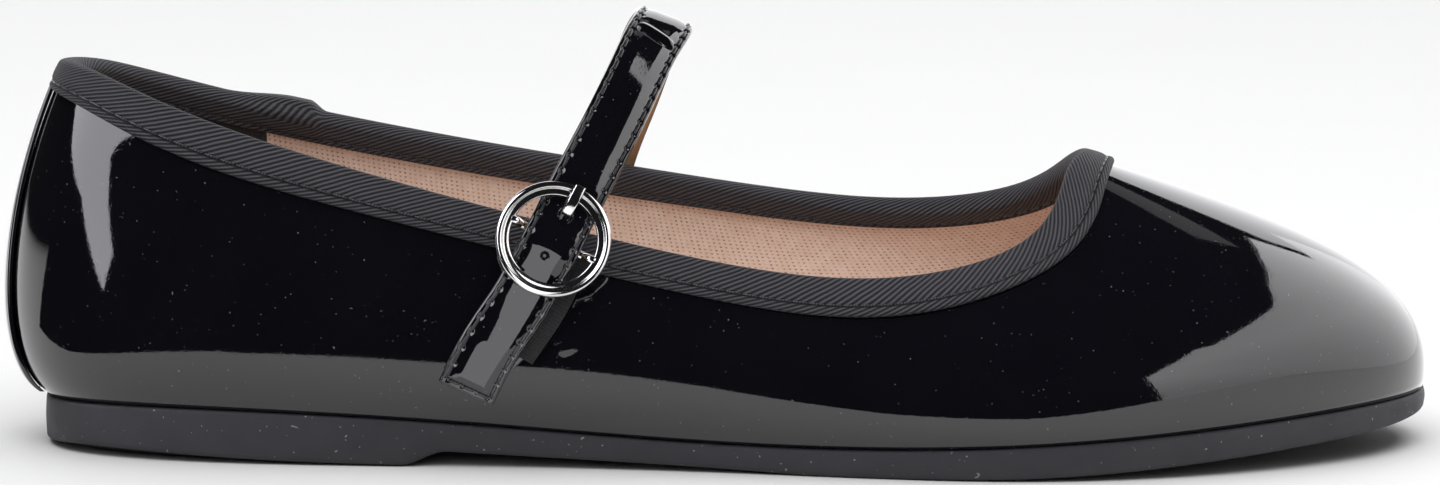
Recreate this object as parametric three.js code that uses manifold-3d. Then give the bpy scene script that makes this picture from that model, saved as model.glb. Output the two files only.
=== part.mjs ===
// A right mary jane shoe: lasted patent upper, bound topline, unit sole, instep strap and round buckle.
// Millimetres, +Z up, +X towards the toe, +Y towards the inner side of the foot.
import * as THREE from 'three';
import { mergeVertices } from 'three/addons/utils/BufferGeometryUtils.js';
import Module from 'manifold-3d';

const wasm = await Module();
wasm.setup();

// ---------------------------------------------------------------- driving dimensions

const SOLE_LENGTH = 245;
const WALL = 1.8; // patent leather with its lining
const GAP = 0.3; // clearance between pieces that touch
const LOOP_STEPS = 72; // steps round the foot
const RISE_STEPS = 9; // steps from feather edge to topline

const INSOLE_THICKNESS = 2.5;
const INSOLE_LIFT = 0.3; // the board lies just above the dished seat of the sole
const BINDING = { insideWidth: 4.7, thickness: 0.9 };
const HEEL_STRIP = {
  topHalfWidth: 6.5, bottomHalfWidth: 10, thickness: 0.8, gap: 0.7,
  bottomGap: 3, topGap: 1, acrossSteps: 8, riseSteps: 28,
};
const HEEL_TURN = 24; // millimetres round the heel in one section of the last
const SOLE_EDGE = {
  round: 0.6, proud: 0.3, underRound: 1.1, bevelWidth: 6, seatInset: 2.6, dish: 0.4, lip: 0.05,
};
const SOLE_COLUMNS = 6; // strips across the foot that fill the sole's top and underside
const INSOLE_COLUMNS = 4;
const TOE_SPRING = { start: 160, height: 6.2, power: 1.35 };
const WAIST = { breastX: 66, endX: 135, height: 2.6, breastRadius: 70, stepLength: 6, curveLead: 4 };
const CUTTER = { halfWidth: 60, halfHeight: 5, behind: 8, curveSegments: 16 };
const STRAP = { width: 10.3, thickness: 1.8, corner: 0.45, humpHeight: 2.1, humpFlat: 1.2, humpReach: 6.8 };
const STRAP_STEPS = 110;
const TAB = { width: 9.6, thickness: 0.9, corner: 0.2, shift: 3.2, startRow: 0.935, endRow: 4, steps: 14 };
const BUCKLE = { outerRadius: 10, innerRadius: 7.6, thickness: 2.0, ledge: 1.3, rim: 1.0, turns: 48 };
const BAR = { radius: 0.75, level: 0.15, steps: 24, sides: 5 };
const PRONG = { width: 1.8, thickness: 1.0, steps: 18 };

// ---------------------------------------------------------------- the last, section by section

// Four rails run round the foot: the feather edge, two that shape the swell of the wall, and the topline.
// Each row is one section: heel, outer side from heel to toe, toe, then the inner side back to the heel.
// ground is the height of the sole's lower rim above the floor, and ribbon is how far down the outer
// face the bound topline's ribbon reaches.
const SECTIONS = [
  { name: 'heel', feather: [0.3, 0, 8.7], low: [-10.2, 0, 14.6],
    high: [-7.3, 0, 42.6], top: [3.7, 0, 66.4], ground: 0.4, ribbon: 4.6 },
  { name: 'outer1', feather: [8, -17, 9.3], low: [2, -22.5, 16.6],
    high: [3, -23, 44], top: [10.3, -15.5, 66], ground: 1.6, ribbon: 5.8 },
  { name: 'outer2', feather: [35.9, -26, 9.4], low: [35, -31.5, 18],
    high: [34, -31, 42], top: [33, -22.5, 57.4], ground: 0.8, ribbon: 7.4 },
  { name: 'outer3', feather: [75.6, -28.5, 7.6], low: [75, -33.5, 15.5],
    high: [73, -31.5, 34], top: [72, -25.5, 45.9], ground: 0, ribbon: 6.2 },
  { name: 'outer4', feather: [122.5, -33.5, 5.1], low: [121.5, -39.5, 12],
    high: [116, -36.5, 26], top: [113, -28, 36.1], ground: 0, ribbon: 7 },
  { name: 'outer5', feather: [169.4, -40.5, 6], low: [168, -45.5, 14],
    high: [153, -38.5, 24.5], top: [147, -29.5, 32.6], ground: 0.3, ribbon: 8 },
  { name: 'outer6', feather: [209.1, -32, 8.5], low: [210.5, -36.5, 21],
    high: [190, -35, 32.5], top: [172.5, -22.3, 38.6], ground: 2.9, ribbon: 7.2 },
  { name: 'outer7', feather: [235.7, -13.5, 9.9], low: [238.5, -16, 26],
    high: [213, -20, 37.5], top: [180.2, -10.5, 49.1], ground: 5.1, ribbon: 6.4 },
  { name: 'toe', feather: [243.7, 7, 9.8], low: [246.7, 7.5, 29.5],
    high: [222, 6, 38], top: [183.2, 1.5, 50.8], ground: 6, ribbon: 5.2 },
  { name: 'inner7', feather: [235.7, 26, 9.9], low: [238.5, 29.5, 25],
    high: [212, 29, 35], top: [181.2, 13.5, 48.3], ground: 5.1, ribbon: 6.4 },
  { name: 'inner6', feather: [209.1, 37, 8.5], low: [210.5, 41, 20],
    high: [190, 40, 30.5], top: [172, 26.5, 41], ground: 2.9, ribbon: 7 },
  { name: 'inner5', feather: [169.4, 37, 6], low: [168, 41.5, 14],
    high: [155, 41, 27.5], top: [148, 33, 37.7], ground: 0.3, ribbon: 7 },
  { name: 'inner4', feather: [122.5, 26.5, 5.1], low: [121.5, 32.5, 12.5],
    high: [116, 35, 29], top: [113, 30.5, 42.1], ground: 0, ribbon: 7 },
  { name: 'inner3', feather: [75.6, 24.5, 7.6], low: [75, 30, 16],
    high: [73, 31.5, 36], top: [72, 26, 49.3], ground: 0, ribbon: 6.6 },
  { name: 'inner2', feather: [35.9, 26, 9.4], low: [35, 31, 18],
    high: [34, 31, 42], top: [33, 22.5, 57.6], ground: 0.8, ribbon: 6.6 },
  { name: 'inner1', feather: [8, 17, 9.3], low: [2, 22.5, 16.6],
    high: [3, 23, 44], top: [10.3, 15.5, 64.2], ground: 1.6, ribbon: 5.6 },
];

// ---------------------------------------------------------------- smooth closed rails

const SOLVE_PASSES = 40;

// The control values whose closed cubic B-spline passes through every given value.
function splineControls(values) {
  const count = values.length;
  let controls = values.slice();
  for (let pass = 0; pass < SOLVE_PASSES; pass += 1) {
    controls = controls.map((_, i) => {
      const before = controls[(i + count - 1) % count];
      const after = controls[(i + 1) % count];
      return (6 * values[i] - before - after) / 4;
    });
  }
  return controls;
}

// The closed cubic B-spline at u, which counts sections from the heel.
function splineValue(controls, u) {
  const count = controls.length;
  const wrapped = ((u % count) + count) % count;
  const first = Math.floor(wrapped);
  const t = wrapped - first;
  const weights = [(1 - t) ** 3, 3 * t ** 3 - 6 * t ** 2 + 4, -3 * t ** 3 + 3 * t ** 2 + 3 * t + 1, t ** 3];
  let sum = 0;
  for (let k = 0; k < 4; k += 1) {
    sum += weights[k] * controls[(first + k + count - 1) % count];
  }
  return sum / 6;
}

function makeRail(name) {
  const axes = [0, 1, 2].map((axis) => splineControls(SECTIONS.map((section) => section[name][axis])));
  return (u) => new THREE.Vector3(...axes.map((controls) => splineValue(controls, u)));
}

const featherAt = makeRail('feather');
const lowAt = makeRail('low');
const highAt = makeRail('high');
const toplineAt = makeRail('top');
const groundControls = splineControls(SECTIONS.map((section) => section.ground));
const groundAt = (u) => splineValue(groundControls, u);
const ribbonControls = splineControls(SECTIONS.map((section) => section.ribbon));
const ribbonAt = (u) => splineValue(ribbonControls, u);
const SECTION_COUNT = SECTIONS.length;

// ---------------------------------------------------------------- the wall of the upper

const profileAt = (u) => new THREE.CubicBezierCurve3(featherAt(u), lowAt(u), highAt(u), toplineAt(u));

const NORMAL_STEP = 0.02; // sections, for the slope round the foot
const FLAT_NORMAL_RISE = 0.16; // below this share of the height the normal turns level

function smooth(t) {
  const clamped = THREE.MathUtils.clamp(t, 0, 1);
  return clamped * clamped * (3 - 2 * clamped);
}

// The outward normal of the wall at section u and share v of the way up.
function wallNormal(u, v) {
  const ahead = profileAt(u + NORMAL_STEP).getPointAt(v);
  const behind = profileAt(u - NORMAL_STEP).getPointAt(v);
  const along = ahead.sub(behind);
  const up = profileAt(u).getTangentAt(v);
  const normal = along.cross(up).normalize();
  const level = smooth(v / FLAT_NORMAL_RISE);
  normal.z *= level;
  return normal.normalize();
}

// A point at a distance outside the wall's outer face, or inside it when offset is negative.
function wallPoint(u, v, offset) {
  return profileAt(u).getPointAt(v).addScaledVector(wallNormal(u, v), offset);
}

// ---------------------------------------------------------------- mesh building

// A closed body from rings of points: each ring joins the next, and the last joins the first.
function closedBody(rings) {
  const positions = [];
  const triangles = [];
  const size = rings[0].length;
  rings.forEach((ring) => ring.forEach((point) => positions.push(point.x, point.y, point.z)));
  for (let r = 0; r < rings.length; r += 1) {
    const next = (r + 1) % rings.length;
    for (let c = 0; c < size; c += 1) {
      const right = (c + 1) % size;
      const a = r * size + c;
      const b = r * size + right;
      const d = next * size + c;
      const e = next * size + right;
      triangles.push(a, b, e, a, e, d);
    }
  }
  return toGeometry(positions, triangles);
}

function toGeometry(positions, triangles) {
  const geometry = new THREE.BufferGeometry();
  geometry.setAttribute('position', new THREE.Float32BufferAttribute(positions, 3));
  geometry.setIndex(triangles);
  return faceOutwards(dropThinTriangles(mergeVertices(geometry, 1e-3)));
}

// Triangles whose corners were merged into one another are left out.
function dropThinTriangles(geometry) {
  const index = Array.from(geometry.getIndex().array);
  const kept = [];
  for (let i = 0; i < index.length; i += 3) {
    const [a, b, c] = index.slice(i, i + 3);
    if (a !== b && b !== c && c !== a) {
      kept.push(a, b, c);
    }
  }
  geometry.setIndex(kept);
  return geometry;
}

function signedVolume(geometry) {
  const position = geometry.getAttribute('position');
  const index = geometry.getIndex().array;
  const corner = (i) => new THREE.Vector3().fromBufferAttribute(position, index[i]);
  let volume = 0;
  for (let i = 0; i < index.length; i += 3) {
    volume += corner(i).dot(corner(i + 1).cross(corner(i + 2))) / 6;
  }
  return volume;
}

function faceOutwards(geometry) {
  if (signedVolume(geometry) < 0) {
    geometry.setIndex(Array.from(geometry.getIndex().array).reverse());
  }
  return geometry;
}

// A sweep of closed sections with both ends closed by a fan.
function sweptBody(sections) {
  const positions = [];
  const triangles = [];
  const size = sections[0].length;
  sections.forEach((section) => section.forEach((point) => positions.push(point.x, point.y, point.z)));
  for (let s = 0; s + 1 < sections.length; s += 1) {
    for (let c = 0; c < size; c += 1) {
      const right = (c + 1) % size;
      const a = s * size + c;
      const b = s * size + right;
      triangles.push(a, b, b + size, a, b + size, a + size);
    }
  }
  const last = (sections.length - 1) * size;
  for (let c = 1; c + 1 < size; c += 1) {
    triangles.push(0, c + 1, c);
    triangles.push(last, last + c, last + c + 1);
  }
  return toGeometry(positions, triangles);
}

function toSolid(geometry) {
  const plain = geometry.clone();
  plain.deleteAttribute('normal');
  plain.deleteAttribute('uv');
  const merged = faceOutwards(dropThinTriangles(mergeVertices(plain, 1e-4)));
  const vertProperties = new Float32Array(merged.getAttribute('position').array);
  const triVerts = new Uint32Array(merged.getIndex().array);
  return new wasm.Manifold(new wasm.Mesh({ numProp: 3, vertProperties, triVerts }));
}

function fromSolid(solid) {
  const mesh = solid.getMesh();
  const geometry = new THREE.BufferGeometry();
  geometry.setAttribute('position', new THREE.Float32BufferAttribute(mesh.vertProperties, 3));
  geometry.setIndex(Array.from(mesh.triVerts));
  return geometry;
}

const loopSteps = (count) => Array.from({ length: count }, (_, i) => (i * SECTION_COUNT) / count);
const shares = (count) => Array.from({ length: count + 1 }, (_, i) => i / count);

// ---------------------------------------------------------------- upper

function makeUpper() {
  const lower = GAP / 2;
  const rings = [];
  shares(RISE_STEPS).forEach((v) => {
    rings.push(loopSteps(LOOP_STEPS).map((u) => wallPoint(u, v, 0)));
  });
  shares(RISE_STEPS).reverse().forEach((v) => {
    rings.push(loopSteps(LOOP_STEPS).map((u) => wallPoint(u, v, -WALL)));
  });
  rings.forEach((ring) => ring.forEach((point) => {
    point.z += lower;
  }));
  return closedBody(rings);
}

// ---------------------------------------------------------------- topline binding

// The folded ribbon's section: distance down from the topline, and offset from the wall's outer face.
function bindingSection(outsideWidth) {
  const outside = GAP + BINDING.thickness;
  const inside = -WALL - outside;
  return [
    { down: outsideWidth, offset: GAP },
    { down: outsideWidth, offset: outside },
    { down: outsideWidth / 2, offset: outside },
    { down: 0, offset: outside },
    { down: -outside, offset: 0 },
    { down: -outside, offset: -WALL },
    { down: 0, offset: inside },
    { down: BINDING.insideWidth / 2, offset: inside },
    { down: BINDING.insideWidth, offset: inside },
    { down: BINDING.insideWidth, offset: -WALL - GAP },
    { down: BINDING.insideWidth / 2, offset: -WALL - GAP },
    { down: -GAP, offset: -WALL - GAP },
    { down: -GAP, offset: GAP },
    { down: outsideWidth / 2, offset: GAP },
  ];
}

// A point by its distance down from the topline; a negative distance stands above the edge.
function toplinePoint(u, down, offset) {
  const profile = profileAt(u);
  const v = 1 - Math.max(down, 0) / profile.getLength();
  const point = wallPoint(u, v, offset);
  if (down < 0) {
    point.addScaledVector(profile.getTangentAt(1), -down);
  }
  point.z += GAP / 2;
  return point;
}

function makeBinding() {
  const rings = loopSteps(LOOP_STEPS).map((u) => (
    bindingSection(ribbonAt(u)).map(({ down, offset }) => toplinePoint(u, down, offset))
  ));
  return closedBody(rings);
}

// ---------------------------------------------------------------- heel strip

function makeHeelStrip() {
  const across = shares(HEEL_STRIP.acrossSteps).map((share) => 2 * share - 1);
  const bottomDown = profileAt(0).getLength() - HEEL_STRIP.bottomGap;
  const topDown = ribbonAt(HEEL_STRIP.topHalfWidth / HEEL_TURN) + HEEL_STRIP.topGap;
  const sections = shares(HEEL_STRIP.riseSteps).map((rise) => {
    const down = THREE.MathUtils.lerp(bottomDown, topDown, rise);
    const halfWidth = THREE.MathUtils.lerp(HEEL_STRIP.bottomHalfWidth, HEEL_STRIP.topHalfWidth, rise);
    const side = (offset) => across.map((place) => {
      const u = (place * halfWidth) / HEEL_TURN;
      return toplinePoint(u, down, offset);
    });
    return [...side(HEEL_STRIP.gap), ...side(HEEL_STRIP.gap + HEEL_STRIP.thickness).reverse()];
  });
  return sweptBody(sections);
}

// ---------------------------------------------------------------- sole

const footprintAt = (u, inset, z) => {
  const point = featherAt(u);
  const along = featherAt(u + NORMAL_STEP).sub(featherAt(u - NORMAL_STEP));
  const inward = new THREE.Vector3(-along.y, along.x, 0).normalize();
  point.addScaledVector(inward, inset);
  point.z = z;
  return point;
};

function toeSpring(x) {
  const share = Math.max(0, x - TOE_SPRING.start) / (SOLE_LENGTH - TOE_SPRING.start);
  return TOE_SPRING.height * share ** TOE_SPRING.power;
}

// Cross rows from the outer rim to the inner rim close a loop that is alike on both sides.
function ladderRows(ring, columns) {
  const half = ring.length / 2;
  const rows = [];
  for (let i = 0; i <= half; i += 1) {
    const outer = ring[i];
    const inner = ring[(ring.length - i) % ring.length];
    rows.push(shares(columns).map((share) => outer.clone().lerp(inner, share)));
  }
  return rows;
}

// A flat-bottomed body: a stack of rings from top to underside, with both ends filled across.
function stackedBody(rings, columns) {
  const positions = [];
  const triangles = [];
  const size = rings[0].length;
  rings.forEach((ring) => ring.forEach((point) => positions.push(point.x, point.y, point.z)));
  for (let r = 0; r + 1 < rings.length; r += 1) {
    for (let c = 0; c < size; c += 1) {
      const right = (c + 1) % size;
      const a = r * size + c;
      const b = r * size + right;
      triangles.push(a, b, b + size, a, b + size, a + size);
    }
  }
  [rings[0], rings[rings.length - 1]].forEach((ring, end) => {
    const rows = ladderRows(ring, columns);
    const first = positions.length / 3;
    rows.forEach((row) => row.forEach((point) => positions.push(point.x, point.y, point.z)));
    for (let r = 0; r + 1 < rows.length; r += 1) {
      for (let c = 0; c < columns; c += 1) {
        const a = first + r * (columns + 1) + c;
        const b = a + 1;
        const d = a + columns + 1;
        const e = d + 1;
        if (end === 0) {
          triangles.push(a, b, e, a, e, d);
        } else {
          triangles.push(a, e, b, a, d, e);
        }
      }
    }
  });
  return toGeometry(positions, triangles);
}

function soleRing(inset, heightOf) {
  return loopSteps(LOOP_STEPS).map((u) => footprintAt(u, inset, heightOf(u)));
}

// What the raised waist leaves open under the sole, between the heel's breast and the forefoot.
function waistCutter() {
  const plan = new THREE.Shape();
  const { halfWidth, halfHeight, behind, curveSegments } = CUTTER;
  const centreX = WAIST.breastX - WAIST.curveLead + WAIST.breastRadius;
  const swing = Math.asin(halfWidth / WAIST.breastRadius);
  plan.moveTo(WAIST.endX, -halfWidth);
  plan.lineTo(WAIST.endX, halfWidth);
  plan.absarc(centreX, 0, WAIST.breastRadius, Math.PI - swing, Math.PI + swing, false);
  const block = new THREE.ExtrudeGeometry(plan, {
    depth: 2 * halfHeight, bevelEnabled: false, curveSegments,
  });
  block.translate(0, 0, -halfHeight);

  const profile = new THREE.Shape();
  const stepEnd = WAIST.breastX + WAIST.stepLength;
  profile.moveTo(WAIST.breastX - behind, -halfHeight);
  profile.lineTo(WAIST.endX, -halfHeight);
  profile.lineTo(WAIST.endX, 0);
  profile.lineTo(stepEnd, WAIST.height);
  profile.lineTo(WAIST.breastX - behind, WAIST.height);
  const wedge = new THREE.ExtrudeGeometry(profile, { depth: 2 * halfWidth, bevelEnabled: false });
  wedge.rotateX(Math.PI / 2);
  wedge.translate(0, halfWidth, 0);
  return toSolid(block).intersect(toSolid(wedge));
}

function makeOutsole() {
  const seat = (u) => featherAt(u).z - GAP / 2;
  const underside = (u) => toeSpring(featherAt(u).x);
  const rings = [
    soleRing(SOLE_EDGE.seatInset, (u) => seat(u) - SOLE_EDGE.dish),
    soleRing(SOLE_EDGE.round, seat),
    soleRing(-SOLE_EDGE.proud, (u) => seat(u) - SOLE_EDGE.round),
    soleRing(-SOLE_EDGE.proud, (u) => groundAt(u) + SOLE_EDGE.underRound),
    soleRing(SOLE_EDGE.underRound - SOLE_EDGE.proud, (u) => groundAt(u) + SOLE_EDGE.lip),
    soleRing(SOLE_EDGE.bevelWidth, underside),
  ];
  return fromSolid(toSolid(stackedBody(rings, SOLE_COLUMNS)).subtract(waistCutter()));
}

// ---------------------------------------------------------------- insole

function makeInsole() {
  const inset = WALL + GAP;
  const bottom = (u) => featherAt(u).z + INSOLE_LIFT;
  const top = (u) => bottom(u) + INSOLE_THICKNESS;
  return stackedBody([soleRing(inset, top), soleRing(inset, bottom)], INSOLE_COLUMNS);
}

// ---------------------------------------------------------------- strap

// The buckle's centre on the strap, and the strap's direction there.
const BUCKLE_CENTRE = new THREE.Vector3(90, -32.9, 40.6);
const STRAP_LEAN = 27.6; // degrees from upright towards the toe, seen from the side
const STRAP_TILT = 14; // degrees inwards
const STRAIGHT_REACH = 10.5; // the strap is straight this far on each side of the buckle

function leanDirection(lean, tilt) {
  const leanAngle = THREE.MathUtils.degToRad(lean);
  const tiltAngle = THREE.MathUtils.degToRad(tilt);
  return new THREE.Vector3(
    Math.sin(leanAngle) * Math.cos(tiltAngle),
    Math.sin(tiltAngle),
    Math.cos(leanAngle) * Math.cos(tiltAngle),
  );
}

const BUCKLE_UP = leanDirection(STRAP_LEAN, STRAP_TILT);
const nearBuckle = (reach) => BUCKLE_CENTRE.clone().addScaledVector(BUCKLE_UP, reach).toArray();

// The strap's middle line from its free end on the outer side to its sewn end on the inner side.
// lean is how far its width turns down towards the toe, and turn how far its face turns towards the toe,
// in degrees.
const STRAP_ROUTE = [
  { name: 'free end', at: [75.2, -35.6, 14.3], lean: 27.6 },
  { name: 'on the quarter', at: [80.1, -36.2, 23.8], lean: 27.6 },
  { name: 'below the buckle', at: nearBuckle(-STRAIGHT_REACH), lean: 27.6 },
  { name: 'lower ring edge', at: nearBuckle(-STRAIGHT_REACH / 2), lean: 27.6 },
  { name: 'buckle', at: nearBuckle(0), lean: 27.6 },
  { name: 'upper ring edge', at: nearBuckle(STRAIGHT_REACH / 2), lean: 27.6 },
  { name: 'above the buckle', at: nearBuckle(STRAIGHT_REACH), lean: 27.6 },
  { name: 'outer rise', at: [99.9, -25.2, 59.3], lean: 27.6, turn: 9 },
  { name: 'outer shoulder', at: [103.9, -17.6, 66.9], lean: 26, turn: 13 },
  { name: 'outer crown', at: [106.9, -8.8, 72.2], lean: 23, turn: 9 },
  { name: 'crown', at: [109, 1, 74.5], lean: 20, turn: 2 },
  { name: 'inner crown', at: [107.6, 10.5, 72.2], lean: 18 },
  { name: 'inner shoulder', at: [105.2, 18.8, 65.9], lean: 17 },
  { name: 'inner fall', at: [102.2, 25.4, 57], lean: 19 },
  { name: 'above the topline', at: [99.5, 30.2, 49.6], lean: 20 },
  { name: 'topline', at: [97.4, 33.2, 42.5], lean: 18 },
  { name: 'on the inner quarter', at: [95.6, 34.6, 34.5], lean: 15 },
  { name: 'sewn end', at: [94.2, 34.6, 27], lean: 14 },
];
const strapCurve = new THREE.CatmullRomCurve3(STRAP_ROUTE.map((row) => new THREE.Vector3(...row.at)));

function routeAngle(name, t) {
  const place = t * (STRAP_ROUTE.length - 1);
  const row = Math.min(Math.floor(place), STRAP_ROUTE.length - 2);
  const [from, to] = [STRAP_ROUTE[row], STRAP_ROUTE[row + 1]];
  return THREE.MathUtils.lerp(from[name] ?? 0, to[name] ?? 0, place - row);
}

// Along, across and outward directions of the strap.
function strapFrame(t) {
  const along = strapCurve.getTangent(t);
  const across = leanDirection(90 + routeAngle('lean', t), 0);
  across.addScaledVector(along, -across.dot(along)).normalize();
  across.applyAxisAngle(along, THREE.MathUtils.degToRad(routeAngle('turn', t)));
  const outward = new THREE.Vector3().crossVectors(across, along);
  return { along, across, outward };
}

// The strap rises over the buckle's bar.
function humpHeight(distance) {
  const away = Math.max(0, Math.abs(distance) - STRAP.humpFlat);
  return STRAP.humpHeight * (1 - smooth(away / (STRAP.humpReach - STRAP.humpFlat)));
}

// A flat band's section with softened corners, as across and outward offsets.
function bandSection(width, thickness, corner) {
  const w = width / 2;
  const h = thickness / 2;
  return [
    [-w, -h + corner], [-w + corner, -h], [w - corner, -h], [w, -h + corner],
    [w, h - corner], [w - corner, h], [-w + corner, h], [-w, h - corner],
  ];
}

function strapSections(steps, section, shiftOut, fromT, toT, shiftAcross) {
  return shares(steps).map((share) => {
    const t = THREE.MathUtils.lerp(fromT, toT, share);
    const { across, outward } = strapFrame(t);
    const centre = strapCurve.getPoint(t);
    const lift = shiftOut(centre);
    return section.map(([side, out]) => (
      centre.clone().addScaledVector(across, side + shiftAcross).addScaledVector(outward, out + lift)
    ));
  });
}

const alongStrap = (point) => point.clone().sub(BUCKLE_CENTRE).dot(BUCKLE_UP);

// Places geometry drawn in the buckle's own axes: X across the strap, Y up along it, Z outward.
function placeOnBuckle(geometry) {
  const across = leanDirection(90 + STRAP_LEAN, 0);
  const outward = new THREE.Vector3().crossVectors(across, BUCKLE_UP);
  const basis = new THREE.Matrix4().makeBasis(across, BUCKLE_UP, outward).setPosition(BUCKLE_CENTRE);
  return geometry.applyMatrix4(basis);
}

const PRONG_SLOT = { from: 2.7, to: 6.2, halfWidth: 1.25, depth: 12 };

function makeStrap() {
  const section = bandSection(STRAP.width, STRAP.thickness, STRAP.corner);
  const hump = (centre) => humpHeight(alongStrap(centre));
  const band = sweptBody(strapSections(STRAP_STEPS, section, hump, 0, 1, 0));
  const slotLength = PRONG_SLOT.to - PRONG_SLOT.from;
  const slot = new THREE.BoxGeometry(2 * PRONG_SLOT.halfWidth, slotLength, PRONG_SLOT.depth);
  slot.translate(0, PRONG_SLOT.from + slotLength / 2, 0);
  return fromSolid(toSolid(band).subtract(toSolid(placeOnBuckle(slot))));
}

// ---------------------------------------------------------------- elastic tab

function makeElasticTab() {
  const below = STRAP.thickness / 2 + GAP + TAB.thickness / 2;
  const section = bandSection(TAB.width, TAB.thickness, TAB.corner);
  const rows = STRAP_ROUTE.length - 1;
  const [start, end] = [TAB.startRow / rows, TAB.endRow / rows];
  return sweptBody(strapSections(TAB.steps, section, () => -below, start, end, TAB.shift));
}

// ---------------------------------------------------------------- buckle

// The ring's section: radius and height over its underside.
const RING_SECTION = [
  [BUCKLE.innerRadius, 0],
  [BUCKLE.outerRadius, 0],
  [BUCKLE.outerRadius, BUCKLE.thickness - 0.5],
  [BUCKLE.outerRadius - 0.4, BUCKLE.thickness],
  [BUCKLE.outerRadius - BUCKLE.rim, BUCKLE.thickness],
  [BUCKLE.outerRadius - BUCKLE.rim - 0.3, BUCKLE.ledge],
  [BUCKLE.innerRadius, BUCKLE.ledge],
  [BUCKLE.innerRadius, 0],
];
const RING_BASE = STRAP.thickness / 2 + GAP;
const BAR_JOIN = RING_BASE + BUCKLE.ledge / 2;

// Half of the bar's middle line, from its middle outwards: across the strap, and outward.
const BAR_ROUTE = [
  [5.2, BAR.level],
  [6.3, BAR.level + 0.4],
  [7.1, BAR_JOIN - 0.1],
  [8.4, BAR_JOIN],
];

function makeBuckleFrame() {
  const outline = RING_SECTION.map(([radius, rise]) => new THREE.Vector2(radius, RING_BASE + rise));
  const ring = new THREE.LatheGeometry(outline, BUCKLE.turns);
  ring.rotateX(Math.PI / 2);

  const half = BAR_ROUTE.map(([x, z]) => new THREE.Vector3(x, 0, z));
  const mirrored = BAR_ROUTE.map(([x, z]) => new THREE.Vector3(-x, 0, z)).reverse();
  const barCurve = new THREE.CatmullRomCurve3([...mirrored, ...half]);
  const circle = new THREE.Shape();
  circle.absarc(0, 0, BAR.radius, 0, 2 * Math.PI, false);
  const bar = new THREE.ExtrudeGeometry(circle, {
    steps: BAR.steps, curveSegments: BAR.sides, extrudePath: barCurve,
  });
  return placeOnBuckle(fromSolid(toSolid(ring).add(toSolid(bar))));
}

// The prong's middle line, from the bar over the ring: up along the strap, and outward.
const OVER_RING = RING_BASE + BUCKLE.thickness + GAP + PRONG.thickness / 2;
const PRONG_ROUTE = [
  [1.2, 0],
  [3, 0.3],
  [4.4, 1.5],
  [5.8, 3.1],
  [7.4, OVER_RING],
  [8.8, OVER_RING + 0.1],
  [10.2, OVER_RING],
];

function makeBuckleProng() {
  const curve = new THREE.CatmullRomCurve3(PRONG_ROUTE.map(([y, z]) => new THREE.Vector3(0, y, z)));
  const sections = shares(PRONG.steps).map((t) => {
    const centre = curve.getPoint(t);
    const along = curve.getTangent(t);
    const outward = new THREE.Vector3(0, -along.z, along.y);
    return [[-1, -1], [1, -1], [1, 1], [-1, 1]].map(([side, out]) => (
      new THREE.Vector3((side * PRONG.width) / 2, 0, 0)
        .add(centre)
        .addScaledVector(outward, (out * PRONG.thickness) / 2)
    ));
  });
  return placeOnBuckle(sweptBody(sections));
}

// ---------------------------------------------------------------- assembly

const FINISH = {
  patent: { color: 0x0b0a10, roughness: 0.06, metalness: 0 },
  ribbon: { color: 0x1b1a1f, roughness: 0.85, metalness: 0 },
  rubber: { color: 0x2f2d33, roughness: 0.75, metalness: 0 },
  insole: { color: 0xd8b39c, roughness: 0.9, metalness: 0 },
  elastic: { color: 0x141317, roughness: 0.9, metalness: 0 },
  chrome: { color: 0xd9d9dc, roughness: 0.12, metalness: 1 },
};

const shoe = new THREE.Group();

function addPart(name, geometry, finish) {
  const mesh = new THREE.Mesh(geometry, new THREE.MeshStandardMaterial(FINISH[finish]));
  mesh.name = name;
  shoe.add(mesh);
  return mesh;
}

addPart('outsole', makeOutsole(), 'rubber');
addPart('insole', makeInsole(), 'insole');
addPart('upper', makeUpper(), 'patent');
addPart('topline_binding', makeBinding(), 'ribbon');
addPart('heel_strip', makeHeelStrip(), 'patent');
addPart('strap', makeStrap(), 'patent');
addPart('elastic_tab', makeElasticTab(), 'elastic');
addPart('buckle_frame', makeBuckleFrame(), 'chrome');
addPart('buckle_prong', makeBuckleProng(), 'chrome');

// The origin is under the middle of the shoe: the box's middle in X and Y, and the floor in Z.
const extent = new THREE.Box3().setFromObject(shoe);
const middle = extent.getCenter(new THREE.Vector3());
shoe.position.set(-middle.x, -middle.y, -extent.min.z);

export default shoe;
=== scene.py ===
"""A right mary jane shoe in black patent leather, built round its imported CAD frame."""

import math

import bmesh
import bpy
import numpy as np
from mathutils import Matrix, Vector


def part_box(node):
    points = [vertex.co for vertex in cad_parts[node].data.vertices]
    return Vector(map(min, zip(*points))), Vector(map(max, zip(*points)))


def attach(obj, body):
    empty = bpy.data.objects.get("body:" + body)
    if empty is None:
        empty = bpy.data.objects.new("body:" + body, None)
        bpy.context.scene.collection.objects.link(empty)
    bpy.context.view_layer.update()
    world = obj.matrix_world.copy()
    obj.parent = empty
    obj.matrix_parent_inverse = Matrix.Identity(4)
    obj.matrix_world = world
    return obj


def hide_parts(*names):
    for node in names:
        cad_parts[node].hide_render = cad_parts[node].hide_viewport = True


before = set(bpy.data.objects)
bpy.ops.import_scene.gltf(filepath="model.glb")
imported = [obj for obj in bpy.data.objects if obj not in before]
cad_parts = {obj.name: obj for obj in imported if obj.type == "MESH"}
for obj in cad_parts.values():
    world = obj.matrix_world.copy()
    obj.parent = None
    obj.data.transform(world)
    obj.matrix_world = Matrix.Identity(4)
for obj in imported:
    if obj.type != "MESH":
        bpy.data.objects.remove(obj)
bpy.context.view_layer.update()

MM = 0.001

# ---------------------------------------------------------------- sizes, in millimetres

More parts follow.
